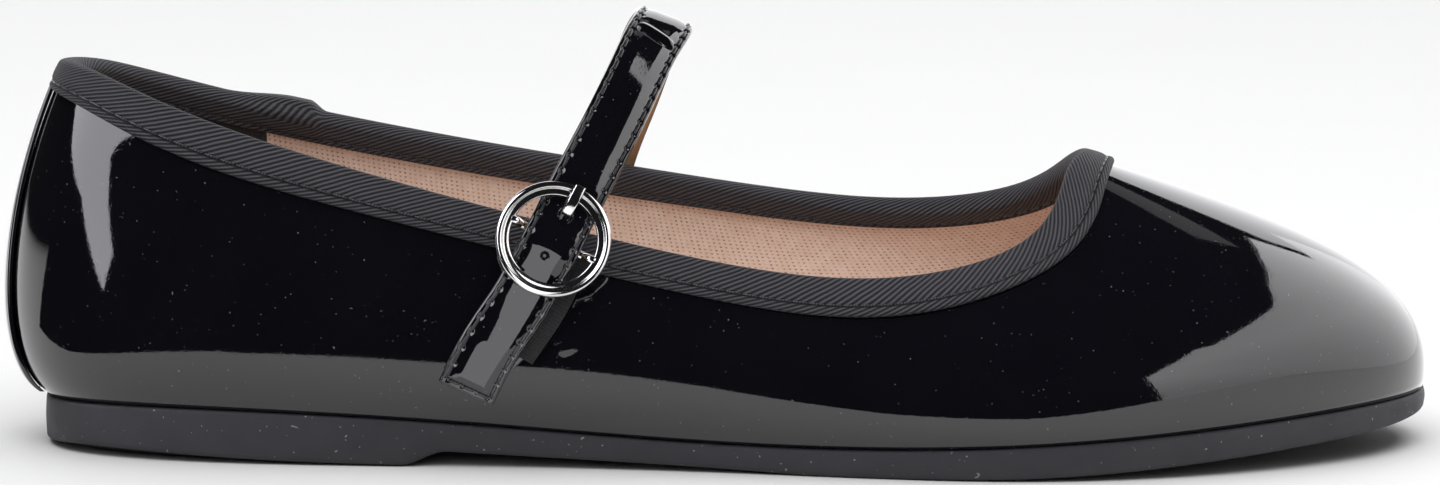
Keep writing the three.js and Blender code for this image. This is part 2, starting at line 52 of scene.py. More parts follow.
WALL = 1.8
GAP = 0.3
LEATHER = 0.9            # patent layer of the wall; the lining is the rest
SOLE_LENGTH = 245.0
SOLE_PROUD = 0.3
TOE_SPRING = (160.0, 6.2, 1.35)          # start, height at the tip, power
WAIST = (63.5, 71.5, 135.0, 2.6)         # breast start, breast end, waist end, height
BREAST_CURVE = (28.0, 140.0)             # half width, and twice the radius, of the heel's curved breast
INSIDE_WIDTH = 4.7       # the ribbon's reach down the inner face
BINDING_THICKNESS = 0.9
STITCH_SHARE = 0.72      # the binding's stitch line, as a share of its reach down
STRAP_WIDTH = 10.3
STRAP_THICKNESS = 1.8
STRAP_LEATHER = 1.15
HUMP = (2.1, 1.2, 6.8)   # the strap over the buckle's bar: height, flat half length, reach
RING_THICKNESS = 2.0
LINING_EDGE_X = 37.5     # where the black heel lining meets the beige one
STITCH_PITCH = 2.9       # one stitch and its gap, on the strap and on the ribbon
WALL_RUN = 45.0          # the wall's height as its surface pattern counts it

# Four rails run round the foot: feather edge, two rails that shape the swell, and topline; then the
# height of the sole's lower rim, and how far down the ribbon reaches.  One row a section: heel, outer
# side, toe, inner side.
SECTIONS = (
    ("heel", (0.3, 0, 8.7), (-10.2, 0, 14.6), (-7.3, 0, 42.6), (3.7, 0, 66.4), 0.4, 4.6),
    ("outer1", (8, -17, 9.3), (2, -22.5, 16.6), (3, -23, 44), (10.3, -15.5, 66), 1.6, 5.8),
    ("outer2", (35.9, -26, 9.4), (35, -31.5, 18), (34, -31, 42), (33, -22.5, 57.4), 0.8, 7.4),
    ("outer3", (75.6, -28.5, 7.6), (75, -33.5, 15.5), (73, -31.5, 34), (72, -25.5, 45.9), 0, 6.2),
    ("outer4", (122.5, -33.5, 5.1), (121.5, -39.5, 12), (116, -36.5, 26), (113, -28, 36.1), 0, 7),
    ("outer5", (169.4, -40.5, 6), (168, -45.5, 14), (153, -38.5, 24.5), (147, -29.5, 32.6), 0.3, 8),
    ("outer6", (209.1, -32, 8.5), (210.5, -36.5, 21), (190, -35, 32.5), (172.5, -22.3, 38.6), 2.9, 7.2),
    ("outer7", (235.7, -13.5, 9.9), (238.5, -16, 26), (213, -20, 37.5), (180.2, -10.5, 49.1), 5.1, 6.4),
    ("toe", (243.7, 7, 9.8), (246.7, 7.5, 29.5), (222, 6, 38), (183.2, 1.5, 50.8), 6, 5.2),
    ("inner7", (235.7, 26, 9.9), (238.5, 29.5, 25), (212, 29, 35), (181.2, 13.5, 48.3), 5.1, 6.4),
    ("inner6", (209.1, 37, 8.5), (210.5, 41, 20), (190, 40, 30.5), (172, 26.5, 41), 2.9, 7),
    ("inner5", (169.4, 37, 6), (168, 41.5, 14), (155, 41, 27.5), (148, 33, 37.7), 0.3, 7),
    ("inner4", (122.5, 26.5, 5.1), (121.5, 32.5, 12.5), (116, 35, 29), (113, 30.5, 42.1), 0, 7),
    ("inner3", (75.6, 24.5, 7.6), (75, 30, 16), (73, 31.5, 36), (72, 26, 49.3), 0, 6.6),
    ("inner2", (35.9, 26, 9.4), (35, 31, 18), (34, 31, 42), (33, 22.5, 57.6), 0.8, 6.6),
    ("inner1", (8, 17, 9.3), (2, 22.5, 16.6), (3, 23, 44), (10.3, 15.5, 64.2), 1.6, 5.6),
)
COUNT = len(SECTIONS)
TOE = COUNT / 2

# ---------------------------------------------------------------- smooth closed rails


def spline_controls(values):
    """Control values whose closed cubic B-spline passes through the given rows."""
    values = np.asarray(values, float)
    count = len(values)
    matrix = 4 * np.eye(count)
    for row in range(count):
        matrix[row, row - 1] += 1
        matrix[row, (row + 1) % count] += 1
    return np.linalg.solve(matrix, 6 * values)


def spline_at(controls, u):
    """The closed spline's value at places counted in sections."""
    u = np.mod(np.asarray(u, float), COUNT)
    first = np.floor(u).astype(int) % COUNT
    t = (u - np.floor(u))[:, None]
    weights = ((1 - t) ** 3, 3 * t**3 - 6 * t**2 + 4, -3 * t**3 + 3 * t**2 + 3 * t + 1, t**3)
    total = 0
    for k in range(4):
        total = total + weights[k] * controls[(first + k - 1) % COUNT]
    return total / 6


RAILS = [spline_controls([row[1 + k] for row in SECTIONS]) for k in range(4)]
GROUND = spline_controls([[row[5]] for row in SECTIONS])
RIBBON_DOWN = spline_controls([[row[6]] for row in SECTIONS])


def rail_points(u):
    return [spline_at(rail, u) for rail in RAILS]


def feather(u):
    return spline_at(RAILS[0], u)


def profile_points(u, t):
    """Points of the wall's profile curves at sections u and curve parameters t."""
    (a, b, c, d), t = rail_points(u), t[:, None]
    return a * (1 - t) ** 3 + 3 * b * t * (1 - t) ** 2 + 3 * c * t**2 * (1 - t) + d * t**3


def profile_slopes(u, t):
    (a, b, c, d), t = rail_points(u), t[:, None]
    return 3 * (b - a) * (1 - t) ** 2 + 6 * (c - b) * t * (1 - t) + 3 * (d - c) * t**2


LENGTH_STEPS = 64        # chords up one profile
TABLE_STEPS = 64         # rows of the length table in one section


def length_table():
    """Running length up the profile: one row a place round the foot."""
    u = np.arange(COUNT * TABLE_STEPS + 1) / TABLE_STEPS
    ts = np.linspace(0, 1, LENGTH_STEPS + 1)
    rows = [profile_points(u, np.full(len(u), t)) for t in ts]
    steps = [np.linalg.norm(rows[i + 1] - rows[i], axis=1) for i in range(LENGTH_STEPS)]
    return np.concatenate([np.zeros((len(u), 1)), np.cumsum(np.array(steps), axis=0).T], axis=1)


LENGTHS = length_table()


def profile_lengths(u):
    """Running lengths up the profiles at sections u, read off the table."""
    place = np.mod(u, COUNT) * TABLE_STEPS
    row = np.minimum(place.astype(int), COUNT * TABLE_STEPS - 1)
    share = (place - row)[:, None]
    return LENGTHS[row] * (1 - share) + LENGTHS[row + 1] * share


def share_to_t(u, share):
    """The curve parameter at a share of the way up the profile by its length."""
    lengths = profile_lengths(u)
    target = np.clip(share, 0, 1) * lengths[:, -1]
    index = np.clip((lengths < target[:, None]).sum(axis=1), 1, LENGTH_STEPS)
    rows = np.arange(len(u))
    low = lengths[rows, index - 1]
    high = lengths[rows, index]
    return (index - 1 + (target - low) / np.maximum(high - low, 1e-9)) / LENGTH_STEPS


def smooth(t):
    t = np.clip(t, 0, 1)
    return t * t * (3 - 2 * t)


def unit(vectors):
    return vectors / np.maximum(np.linalg.norm(vectors, axis=-1, keepdims=True), 1e-9)


NORMAL_STEP = 0.02       # sections to either side from which a normal is taken
FLAT_NORMAL_RISE = 0.16  # share of the wall over which offsets turn from level to square
PLACES_AT_ONCE = 20000


def wall(u, v, offset):
    """Points at an offset outside the wall's outer face, at sections u and shares v of the way up."""
    shape = np.broadcast(u, v, offset).shape
    u, v, offset = (np.broadcast_to(a, shape).ravel().astype(float) for a in (u, v, offset))
    result = np.empty((len(u), 3))
    for start in range(0, len(u), PLACES_AT_ONCE):
        part = slice(start, start + PLACES_AT_ONCE)
        result[part] = wall_block(u[part], v[part], offset[part])
    return result.reshape(shape + (3,))


def wall_block(u, v, offset):
    t = share_to_t(u, v)
    ahead = profile_points(u + NORMAL_STEP, share_to_t(u + NORMAL_STEP, v))
    behind = profile_points(u - NORMAL_STEP, share_to_t(u - NORMAL_STEP, v))
    normal = unit(np.cross(ahead - behind, profile_slopes(u, t)))
    normal[:, 2] *= smooth(v / FLAT_NORMAL_RISE)
    points = profile_points(u, t) + unit(normal) * offset[:, None]
    points[:, 2] += GAP / 2
    return points


def below_topline(u, down, offset):
    """Points by distance down from the topline; a negative distance stands above the edge."""
    shape = np.broadcast(u, down, offset).shape
    u, down, offset = (np.broadcast_to(a, shape).astype(float) for a in (u, down, offset))
    flat = u.ravel()
    whole = profile_lengths(flat)[:, -1].reshape(shape)
    points = wall(u, 1 - np.maximum(down, 0) / whole, offset)
    tip = unit(profile_slopes(flat, np.ones(len(flat)))).reshape(shape + (3,))
    return points + tip * np.maximum(-down, 0)[..., None]


# ---------------------------------------------------------------- from the shoe's sizes to the frame


def footprint(u, inset):
    """The feather edge drawn in by a distance; a negative one stands outside it."""
    points = feather(u)
    along = feather(u + NORMAL_STEP) - feather(u - NORMAL_STEP)
    inward = unit(np.stack([-along[:, 1], along[:, 0], np.zeros(len(u))], axis=1))
    return points + inward * inset


ORIGIN_PLACES = 288      # places round the rim from which its middle is taken


def frame_origin():
    """The frame's origin in the shoe's own sizes, read off the outsole's box."""
    ring = footprint(np.linspace(0, COUNT, ORIGIN_PLACES, endpoint=False), -SOLE_PROUD)
    low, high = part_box("outsole")
    middle = (ring.min(axis=0) + ring.max(axis=0)) / 2
    return np.array([
        middle[0] - (low[0] + high[0]) / 2 / MM,
        middle[1] - (low[1] + high[1]) / 2 / MM,
        -low[2] / MM,
    ])


ORIGIN = frame_origin()


def to_world(points):
    return (np.asarray(points, float) - ORIGIN) * MM


# ---------------------------------------------------------------- mesh building


def link_object(name, data):
    made = bpy.data.objects.new(name, data)
    bpy.context.collection.objects.link(made)
    return made


def shade_smooth(mesh):
    mesh.polygons.foreach_set("use_smooth", [True] * len(mesh.polygons))


def make_object(name, points, faces, corner_uvs, material):
    """A smooth mesh object in the frame, from points in the shoe's sizes."""
    mesh = bpy.data.meshes.new(name)
    mesh.from_pydata(to_world(points).tolist(), [], faces)
    if corner_uvs is not None:
        layer = mesh.uv_layers.new(name="run")
        layer.data.foreach_set("uv", np.asarray(corner_uvs, np.float32).ravel())
    shade_smooth(mesh)
    mesh.materials.append(material)
    mesh.update()
    return link_object(name, mesh)


def signed_volume(points, quads):
    a, b, c, d = (points[quads[:, k]] for k in range(4))
    first = np.einsum("ij,ij->i", a, np.cross(b, c))
    second = np.einsum("ij,ij->i", a, np.cross(c, d))
    return (first + second).sum() / 6


def band_object(name, grid, along, across, material, closed):
    """A solid band: grid[row, column], rows close round its section, columns run along it.

    along and across are the running distances that the surface pattern follows.
    """
    rows, columns = grid.shape[:2]
    runs = columns if closed else columns - 1
    r, c = np.meshgrid(np.arange(rows), np.arange(runs), indexing="ij")
    r, c = r.ravel(), c.ravel()
    up, right = (r + 1) % rows, (c + 1) % columns
    quads = np.stack(
        [r * columns + c, r * columns + right, up * columns + right, up * columns + c], axis=1)
    points = grid.reshape(-1, 3)
    uvs = np.stack([
        np.stack([along[c], across[r]], axis=1),
        np.stack([along[c + 1], across[r]], axis=1),
        np.stack([along[c + 1], across[r + 1]], axis=1),
        np.stack([along[c], across[r + 1]], axis=1),
    ], axis=1)
    flipped = signed_volume(points, quads) < 0
    if flipped:
        quads, uvs = quads[:, ::-1], uvs[:, ::-1]
    faces = quads.tolist()
    corner_uvs = uvs.reshape(-1, 2)
    if not closed:
        first = [row * columns for row in range(rows)]
        last = [row * columns + columns - 1 for row in range(rows)]
        faces += [first[::-1], last] if flipped else [first, last[::-1]]
        cap_uvs = np.zeros((2 * rows, 2))
        cap_uvs[:, 0] = np.repeat([along[0], along[-1]], rows)
        corner_uvs = np.concatenate([corner_uvs, cap_uvs])
    return make_object(name, points, faces, corner_uvs, material)


def run_lengths(points):
    """Running distance along a list of points."""
    steps = np.linalg.norm(np.diff(points, axis=0), axis=1)
    return np.concatenate([[0], np.cumsum(steps)])


def interp_points(places, knots, points):
    """Points at the given places along a list of points with its running distances."""
    return np.stack([np.interp(places, knots, points[:, k]) for k in range(3)], axis=-1)


def even_runs(count, step):
    """Running distances round a closed section of count equal steps."""
    return np.arange(count + 1) * step


def loop_lengths(points):
    """Running distance round a closed list of points, back to its start."""
    return run_lengths(np.concatenate([points, points[:1]]))


THREAD_SHARES = (0, 0.06, 0.2, 0.5, 0.8, 0.94, 1)
THREAD_SWELL = (0.15, 0.62, 0.95, 1, 0.95, 0.62, 0.15)
NO_THREAD_RUNS = (0.31, 0.12, 0.94)      # a direction that no stitch runs in


def capsules(name, starts, ends, radius, material, sides):
    """Many short threads in one mesh, each with rounded, tapering ends."""
    points, faces, uvs = [], [], []
    for start, end in zip(starts, ends):
        axis = unit(end - start)
        side = unit(np.cross(axis, NO_THREAD_RUNS))
        other = np.cross(axis, side)
        base = len(points)
        length = np.linalg.norm(end - start)
        for share, swell in zip(THREAD_SHARES, THREAD_SWELL):
            centre = start + (end - start) * share
            for k in range(sides):
                angle = 2 * math.pi * k / sides
                outward = math.cos(angle) * side + math.sin(angle) * other
                points.append(centre + radius * swell * outward)
        for ring in range(len(THREAD_SHARES) - 1):
            low, high = THREAD_SHARES[ring] * length, THREAD_SHARES[ring + 1] * length
            for k in range(sides):
                a = base + ring * sides + k
                b = base + ring * sides + (k + 1) % sides
                faces.append([a, b, b + sides, a + sides])
                here, beyond = k / sides, (k + 1) / sides
                uvs += [(low, here), (low, beyond), (high, beyond), (high, here)]
        faces.append([base + k for k in reversed(range(sides))])
        faces.append([base + (len(THREAD_SHARES) - 1) * sides + k for k in range(sides)])
        uvs += [(0, 0)] * sides + [(length, 0)] * sides
    return make_object(name, np.array(points), faces, uvs, material)


def layer_object(name, outer, inner, along, across, material, closed=False):
    """A band from its outer face and its inner one, which comes back the other way."""
    return band_object(name, np.concatenate([outer, inner]), along, across, material, closed)


def register(piece, slot, *nodes):
    """Says which body a piece rides and which nodes it stands for; slot is not used."""
    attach(piece, "root")
    if nodes:
        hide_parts(*nodes)


# ---------------------------------------------------------------- materials


class Shader:
    """A node material with a Principled shader and short calls to add nodes."""

    def __init__(self, name, color, roughness, **sockets):
        self.material = bpy.data.materials.new(name)
        self.material.use_nodes = True
        self.tree = self.material.node_tree
        self.shader = self.tree.nodes["Principled BSDF"]
        self.color(color)
        self.rough(roughness)
        for socket, value in sockets.items():
            self.give(socket.replace("_", " "), value)

    def feed(self, socket, value):
        """Links another node's output into a socket, or sets it to a number or a colour."""
        if isinstance(value, bpy.types.NodeSocket):
            self.tree.links.new(value, socket)
        else:
            socket.default_value = (*value, 1) if isinstance(value, tuple) else value

    def give(self, socket, value):
        self.feed(self.shader.inputs[socket], value)

    def color(self, value):
        self.give("Base Color", value)

    def rough(self, value):
        self.give("Roughness", value)

    def node(self, kind, values=None, **settings):
        made = self.tree.nodes.new(kind)
        for key, value in settings.items():
            setattr(made, key, value)
        for key, value in (values or {}).items():
            self.feed(made.inputs[key], value)
        return made

    def math(self, operation, first, second=0.0):
        return self.node("ShaderNodeMath", {0: first, 1: second}, operation=operation).outputs[0]

    def place(self):
        return self.node("ShaderNodeTexCoord").outputs["Object"]

    def run(self):
        """The surface pattern's coordinates in millimetres: along and across."""
        uv = self.node("ShaderNodeUVMap", uv_map="run").outputs[0]
        split = self.node("ShaderNodeSeparateXYZ", {0: uv})
        return split.outputs[0], split.outputs[1]

    def noise(self, size_mm, detail):
        values = {"Scale": 1 / (size_mm * MM), "Detail": detail, "Vector": self.place()}
        return self.node("ShaderNodeTexNoise", values).outputs["Fac"]

    def ramp(self, value, low, high):
        """0 below low, 1 above high."""
        limits = {"Value": value, "From Min": low, "From Max": high}
        return self.node("ShaderNodeMapRange", limits).outputs[0]

    def mix(self, share, first, second):
        ends = {0: share, 6: first, 7: second}
        return self.node("ShaderNodeMix", ends, data_type="RGBA").outputs[2]

    def plus(self, first, second):
        return self.math("ADD", first, second)

    def minus(self, first, second):
        return self.math("SUBTRACT", first, second)

    def times(self, first, second):
        return self.math("MULTIPLY", first, second)

    def slant(self, along, across, degrees):
        """Distance square to lines that rise across the run by an angle."""
        turn = math.radians(degrees)
        return self.minus(self.times(across, math.cos(turn)), self.times(along, math.sin(turn)))

    def wave(self, position, period_mm):
        """A smooth wave from 0 to 1 of the given period."""
        turned = self.times(position, 2 * math.pi / period_mm)
        return self.plus(self.times(self.math("SINE", turned), 0.5), 0.5)

    def bump(self, *layers):
        """Layers of (height socket, height in millimetres), the coarsest first."""
        normal = None
        for height, depth in layers:
            values = {"Height": height, "Distance": depth * MM, "Strength": 1.0}
            if normal is not None:
                values["Normal"] = normal
            normal = self.node("ShaderNodeBump", values).outputs[0]
        self.give("Normal", normal)


SPECK_EDGE = 0.02


def specks(shader, size_mm, threshold):
    """A few small specks of dust: 1 on a speck."""
    return shader.ramp(shader.noise(size_mm, 0.0), threshold, threshold + SPECK_EDGE)


def patent_leather(name, peel):
    """Black gloss with slow waves; peel is the height of its fine unevenness in millimetres."""
    s = Shader(name, (0.0035, 0.0032, 0.0055), 0.03, Coat_Weight=1.0, Coat_Roughness=0.015, Coat_IOR=1.5)
    dust = specks(s, 0.4, 0.84)
    tone = s.mix(s.noise(14, 3), (0.0028, 0.0026, 0.0045), (0.005, 0.0045, 0.007))
    s.color(s.mix(dust, tone, (0.16, 0.15, 0.16)))
    grain = s.noise(0.8, 2)
    waves = s.noise(9, 1)
    s.rough(s.ramp(s.noise(20, 2), -0.6, 30.0))
    s.bump((waves, 0.035), (grain, peel), (s.noise(0.4, 1), 0.4 * peel))
    return s.material


STITCH_GROOVE = 1.85     # millimetres up the ribbon from its outer edge
RIB_TURN, RIB_PITCH = 27, 0.64           # degrees and millimetres
EDGE_TURN, EDGE_PITCH = 20, 0.56
EDGE_BAND = (2.0, 1.7)   # the edge's ribs start and are full, in millimetres from the edge


def grosgrain():
    """Diagonal ribs over most of the width, and finer ones below the stitches."""
    s = Shader("grosgrain_ribbon", (0.008, 0.008, 0.01), 0.66, Sheen_Weight=0.03, Sheen_Roughness=0.4)
    along, across = s.run()
    wobble = s.times(s.minus(s.noise(6, 1), 0.5), 0.4)
    ribs = s.wave(s.plus(s.slant(along, across, RIB_TURN), wobble), RIB_PITCH)
    fine = s.wave(s.slant(along, across, EDGE_TURN), EDGE_PITCH)
    edge = s.ramp(across, *EDGE_BAND)
    ribs = s.plus(s.times(ribs, s.minus(1.0, edge)), s.times(fine, edge))
    weft = s.wave(across, 0.3)
    # The ribs' colour is painted shade in their grooves and painted highlight on their crests.
    rib_painted_shade_and_highlight = s.mix(s.math("POWER", ribs, 1.3), (0.001, 0.001, 0.002), (0.082, 0.08, 0.095))
    worn = s.mix(s.times(s.noise(3, 3), 0.25), rib_painted_shade_and_highlight, (0.006, 0.006, 0.008))
    # Painted shade darkens the ribbon along its stitch groove.
    from_groove = s.math("ABSOLUTE", s.minus(across, STITCH_GROOVE))
    s.color(s.mix(s.ramp(from_groove, 0.5, 0.15), worn, (0.001, 0.001, 0.002)))
    s.bump((ribs, 0.22), (weft, 0.03), (s.noise(0.15, 2), 0.03))
    return s.material


def knit_lining():
    """Beige knit with upright rows of fine dark dots."""
    s = Shader("knit_lining", (0.6, 0.4, 0.3), 0.85, Sheen_Weight=0.15)
    along, across = s.run()
    columns = s.wave(along, 0.95)
    stagger = s.plus(across, s.times(columns, 0.28))
    rows = s.wave(stagger, 0.85)
    dots = s.ramp(s.times(columns, rows), 0.5, 0.8)
    patches = s.ramp(s.noise(2.2, 3), 0.3, 0.7)
    ground = s.mix(patches, (0.86, 0.66, 0.55), (0.93, 0.76, 0.66))
    soft = s.times(dots, s.ramp(s.noise(1.2, 1), 0.25, 0.65))
    s.color(s.mix(soft, ground, (0.34, 0.2, 0.15)))
    loops = s.minus(1.0, dots)
    s.bump((columns, 0.05), (loops, 0.08), (s.noise(0.2, 2), 0.03))
    return s.material


def soft_leather(name, color, roughness, patch, tones, wave, wave_height, pore):
    """Plain leather: patches of two tones, slight waves and fine pores, sized in millimetres."""
    s = Shader(name, color, roughness)
    s.color(s.mix(s.noise(patch, 3), *tones))
    s.bump((s.noise(wave, 2), wave_height), (s.noise(pore, 3), 0.03))
    return s.material


def dark_lining():
    s = Shader("counter_lining", (0.012, 0.012, 0.014), 0.9, Sheen_Weight=0.3)
    along, across = s.run()
    weave = s.times(s.wave(along, 0.7), s.wave(across, 0.7))
    s.color(s.mix(s.noise(1.5, 4), (0.006, 0.006, 0.007), (0.02, 0.02, 0.023)))
    s.bump((s.noise(2.5, 3), 0.08), (weave, 0.05))
    return s.material


def sole_rubber():
    s = Shader("sole_rubber", (0.03, 0.028, 0.034), 0.6)
    grain = s.noise(0.35, 3)
    tone = s.mix(s.noise(18, 3), (0.019, 0.018, 0.023), (0.031, 0.029, 0.036))
    dust = specks(s, 0.6, 0.81)
    s.color(s.mix(dust, tone, (0.22, 0.21, 0.22)))
    s.rough(s.ramp(s.noise(5, 2), -1.2, 1.6))
    s.bump((s.noise(2.5, 2), 0.03), (grain, 0.02))
    return s.material


def woven_elastic():
    """Dark ribs across the tab's length, with cords along it."""
    s = Shader("woven_elastic", (0.01, 0.01, 0.012), 0.75, Sheen_Weight=0.08)
    along, across = s.run()
    ribs = s.wave(along, 0.55)
    cords = s.wave(across, 0.9)
    s.color(s.mix(ribs, (0.002, 0.002, 0.003), (0.011, 0.011, 0.013)))
    s.bump((cords, 0.06), (ribs, 0.14), (s.noise(0.2, 2), 0.03))
    return s.material


def thread(name, light):
    """Twisted sewing thread; light is how bright its strands are."""
    s = Shader(name, (0.004, 0.004, 0.006), 0.3, Coat_Weight=0.4, Coat_Roughness=0.15)
    along, across = s.run()
    twist = s.wave(s.plus(along, s.times(across, 0.55)), 0.55)
    s.color(s.mix(twist, (0.2 * light, 0.2 * light, 0.25 * light), (light, light, 1.2 * light)))
    s.bump((twist, 0.05))
    return s.material


def polished_nickel():
    s = Shader("polished_nickel", (0.86, 0.855, 0.85), 0.07, Metallic=1.0)
    s.color(s.mix(s.noise(2, 3), (0.80, 0.79, 0.785), (0.90, 0.895, 0.89)))
    s.rough(s.ramp(s.noise(0.8, 3), -0.3, 6.0))
    s.bump((s.noise(1.2, 2), 0.004))
    return s.material


def plain_floor():
    s = Shader("pale_floor", (0.9, 0.9, 0.9), 0.9)
    s.color(s.mix(s.noise(90, 2), (0.885, 0.885, 0.885), (0.905, 0.905, 0.905)))
    return s.material


PATENT = patent_leather("patent_leather", 0.009)
STRAP_PATENT = patent_leather("strap_patent_leather", 0.006)
RIBBON = grosgrain()
KNIT = knit_lining()
SOCK = soft_leather("sock_leather", (0.6, 0.42, 0.32), 0.7, 12,
                    ((0.72, 0.5, 0.39), (0.8, 0.58, 0.47)), 6, 0.05, 0.6)
COUNTER = dark_lining()
RUBBER = sole_rubber()
ELASTIC = woven_elastic()
THREAD = thread("black_thread", 0.02)
RIBBON_THREAD = thread("ribbon_thread", 0.07)
TAN = soft_leather("strap_lining", (0.5, 0.3, 0.16), 0.6, 5,
                   ((0.42, 0.25, 0.12), (0.60, 0.39, 0.22)), 2, 0.03, 0.5)
NICKEL = polished_nickel()

# ---------------------------------------------------------------- upper


def gaussian(distance, width):
    """A rounded bump: 1 at no distance, near 0 beyond twice the width."""
    return np.exp(-((distance / width) ** 2))


# Soft troughs (negative) and ridges on the patent wall: side, x, z, slope in degrees, half length,
# half width and height in millimetres.
CREASES = (
    ("outer", 140, 22, 12, 26, 7, -0.22),
    ("outer", 104, 27, -8, 22, 7, 0.08),
    ("outer", 55, 33, -20, 18, 6, -0.16),
    ("outer", 178, 30, 35, 15, 6, -0.14),
    ("outer", 30, 30, 80, 18, 5, 0.12),
    ("inner", 95, 28, 10, 25, 7, -0.25),
    ("inner", 150, 24, -15, 20, 6, -0.2),
    ("inner", 50, 34, 15, 18, 6, 0.18),
)

# A short curved ridge beside the buckle's tab, on the outer side: x, z.
RIDGE = ((96.8, 31.5), (98.2, 29.4), (98.6, 27.2), (97.9, 25.3), (96.4, 23.8), (94.2, 22.6), (91.8, 21.8))
RIDGE_HEIGHT, RIDGE_WIDTH = 0.28, 1.1


def ridge_height(points):
    """The ridge's height at points of the wall, by their distance from its line seen from the side."""
    flat = points[..., [0, 2]]
    nearest = np.full(flat.shape[:-1], 1e6)
    for start, end in zip(np.array(RIDGE[:-1]), np.array(RIDGE[1:])):
        step = end - start
        share = np.clip(((flat - start) @ step) / (step @ step), 0, 1)
        nearest = np.minimum(nearest, np.linalg.norm(flat - start - share[..., None] * step, axis=-1))
    return (points[..., 1] < 0) * RIDGE_HEIGHT * gaussian(nearest, RIDGE_WIDTH)


def crease_height(points):
    """How far the wall's creases and its ridge lift each point."""
    height = ridge_height(points)
    for side, x, z, slope, half_length, half_width, depth in CREASES:
        turn = math.radians(slope)
        dx, dz = points[..., 0] - x, points[..., 2] - z
        along = dx * math.cos(turn) + dz * math.sin(turn)
        away = dz * math.cos(turn) - dx * math.sin(turn)
        here = points[..., 1] < 0 if side == "outer" else points[..., 1] > 0
        height += here * depth * gaussian(along, half_length) * gaussian(away, half_width)
    return height


def wall_runs(rise):
    """The pattern's running distance up one face of a layer and down the other."""
    up = WALL_RUN * rise
    return np.concatenate([up, up[::-1], up[:1]])


def make_upper():
    u = np.linspace(0, COUNT, 640, endpoint=False)
    rise = np.linspace(0, 1, 60)
    base = wall(u[None, :], rise[:, None], 0.0)
    outer = wall(u[None, :], rise[:, None], crease_height(base))
    inner = wall(u[None, :], rise[::-1, None], -LEATHER)
    along = loop_lengths(base[len(rise) // 2])
    across = np.linspace(0, 2, 2 * len(rise) + 1) * WALL_RUN
    piece = layer_object("upper_patent", outer, inner, along, across, PATENT, closed=True)
    register(piece, "patent", "upper")


SKIN_GAP = 0.03          # between the patent skin and the lining


def make_lining():
    u = np.linspace(0, COUNT, 360, endpoint=False)
    rise = np.linspace(0, 0.99, 26)
    outer = wall(u[None, :], rise[:, None], -LEATHER - SKIN_GAP)
    inner = wall(u[None, :], rise[::-1, None], -WALL)
    along = loop_lengths(inner[0])
    piece = layer_object("upper_lining", outer, inner, along, wall_runs(rise), KNIT, closed=True)
    register(piece, "sock")


COUNTER_LIFT = 0.02      # clear of the beige lining
COUNTER_THICKNESS = (0.02, 0.35)         # at its edges, and what it gains further in
COUNTER_EDGE_POWER = 60


def make_counter_lining():
    """The black lining round the heel, laid over the beige one up to an upright edge."""
    reach = np.linspace(-1, 1, 161)
    rise = np.linspace(0.08, 0.97, 30)
    places = np.linspace(1.8, 2.5, 60)
    edges = np.array([np.interp(LINING_EDGE_X, wall(places, v, -WALL)[:, 0], places) for v in rise])
    u = reach[None, :] * edges[:, None]
    thin, gain = COUNTER_THICKNESS
    body = gain * np.sqrt(np.clip(1 - np.abs(reach) ** COUNTER_EDGE_POWER, 0, 1))
    outer = wall(u, rise[:, None], -WALL - COUNTER_LIFT)
    inner = wall(u[::-1], rise[::-1, None], -WALL - COUNTER_LIFT - thin - body[None, :])
    along = run_lengths(inner[len(rise) // 2])
    piece = layer_object("heel_counter_lining", outer, inner, along, wall_runs(rise), COUNTER)
    register(piece, "elastic")


# ---------------------------------------------------------------- topline binding


def binding_width(u, inside=False):
    """How far the ribbon reaches down from the topline."""
    if inside:
        return np.full(np.shape(u), INSIDE_WIDTH)
    return spline_at(RIBBON_DOWN, u)[:, 0]


JOIN_HEIGHT = 1.9        # the lump where the ribbon's ends overlap
JOIN_RISE = (30, 13)     # its slow rise from the back: start and length along the shoe
JOIN_FALL = (45.5, 3.0)  # its short fall at the front
JOIN_OUTWARD = 0.55      # how much of it stands out sideways


def join_lump(u):
    """Where the ribbon's ends overlap, on the inner side: it swells forward and stops short."""
    x = spline_at(RAILS[3], u)[:, 0]
    inner_side = np.mod(u, COUNT) > TOE
    rise = smooth((x - JOIN_RISE[0]) / JOIN_RISE[1])
    return inner_side * JOIN_HEIGHT * rise * (1 - smooth((x - JOIN_FALL[0]) / JOIN_FALL[1]))


# The ribbon's face from its edge up to the fold: share of the way up, and thickness there as a share of
# its full thickness, with the dip of the stitch line.
RIBBON_RELIEF = (
    (0, 0.35), (0.02, 0.62), (0.06, 0.84), (0.12, 0.96), (0.2, 0.93), (0.24, 0.74), (0.28, 0.66),
    (0.32, 0.76), (0.4, 1.0), (0.5, 1.08), (0.62, 1.1), (0.74, 1.08), (0.86, 1.04), (1.0, 1.0),
)
UNDER_FOLD = 0.25        # how far the ribbon's underside stands above the topline inside the fold
FOLD_ROW = 13            # the row of the outline where the outer face meets the fold
WIDTH_COLUMN = 300       # the place round the shoe where the pattern's width is measured


def ribbon_outline():
    """The folded ribbon's section: share of its reach down, offset from the outer face, share over it."""
    rows = [(1 - share, GAP + BINDING_THICKNESS * lift, 0.0) for share, lift in RIBBON_RELIEF]
    half = WALL / 2
    for angle in np.linspace(0, math.pi, 11)[1:-1]:
        rows.append((0.0, -half + math.cos(angle) * (half + GAP + BINDING_THICKNESS), math.sin(angle)))
    for share, lift in RIBBON_RELIEF[::-1]:
        rows.append((1 - share, -WALL - GAP - BINDING_THICKNESS * lift, 0.0))
    for offset, shares in ((-WALL - GAP, np.linspace(0, 1, 5)), (GAP, np.linspace(1, 0, 5))):
        rows += [(1 - share, offset, UNDER_FOLD * (share == 1)) for share in shares]
    return np.array(rows)


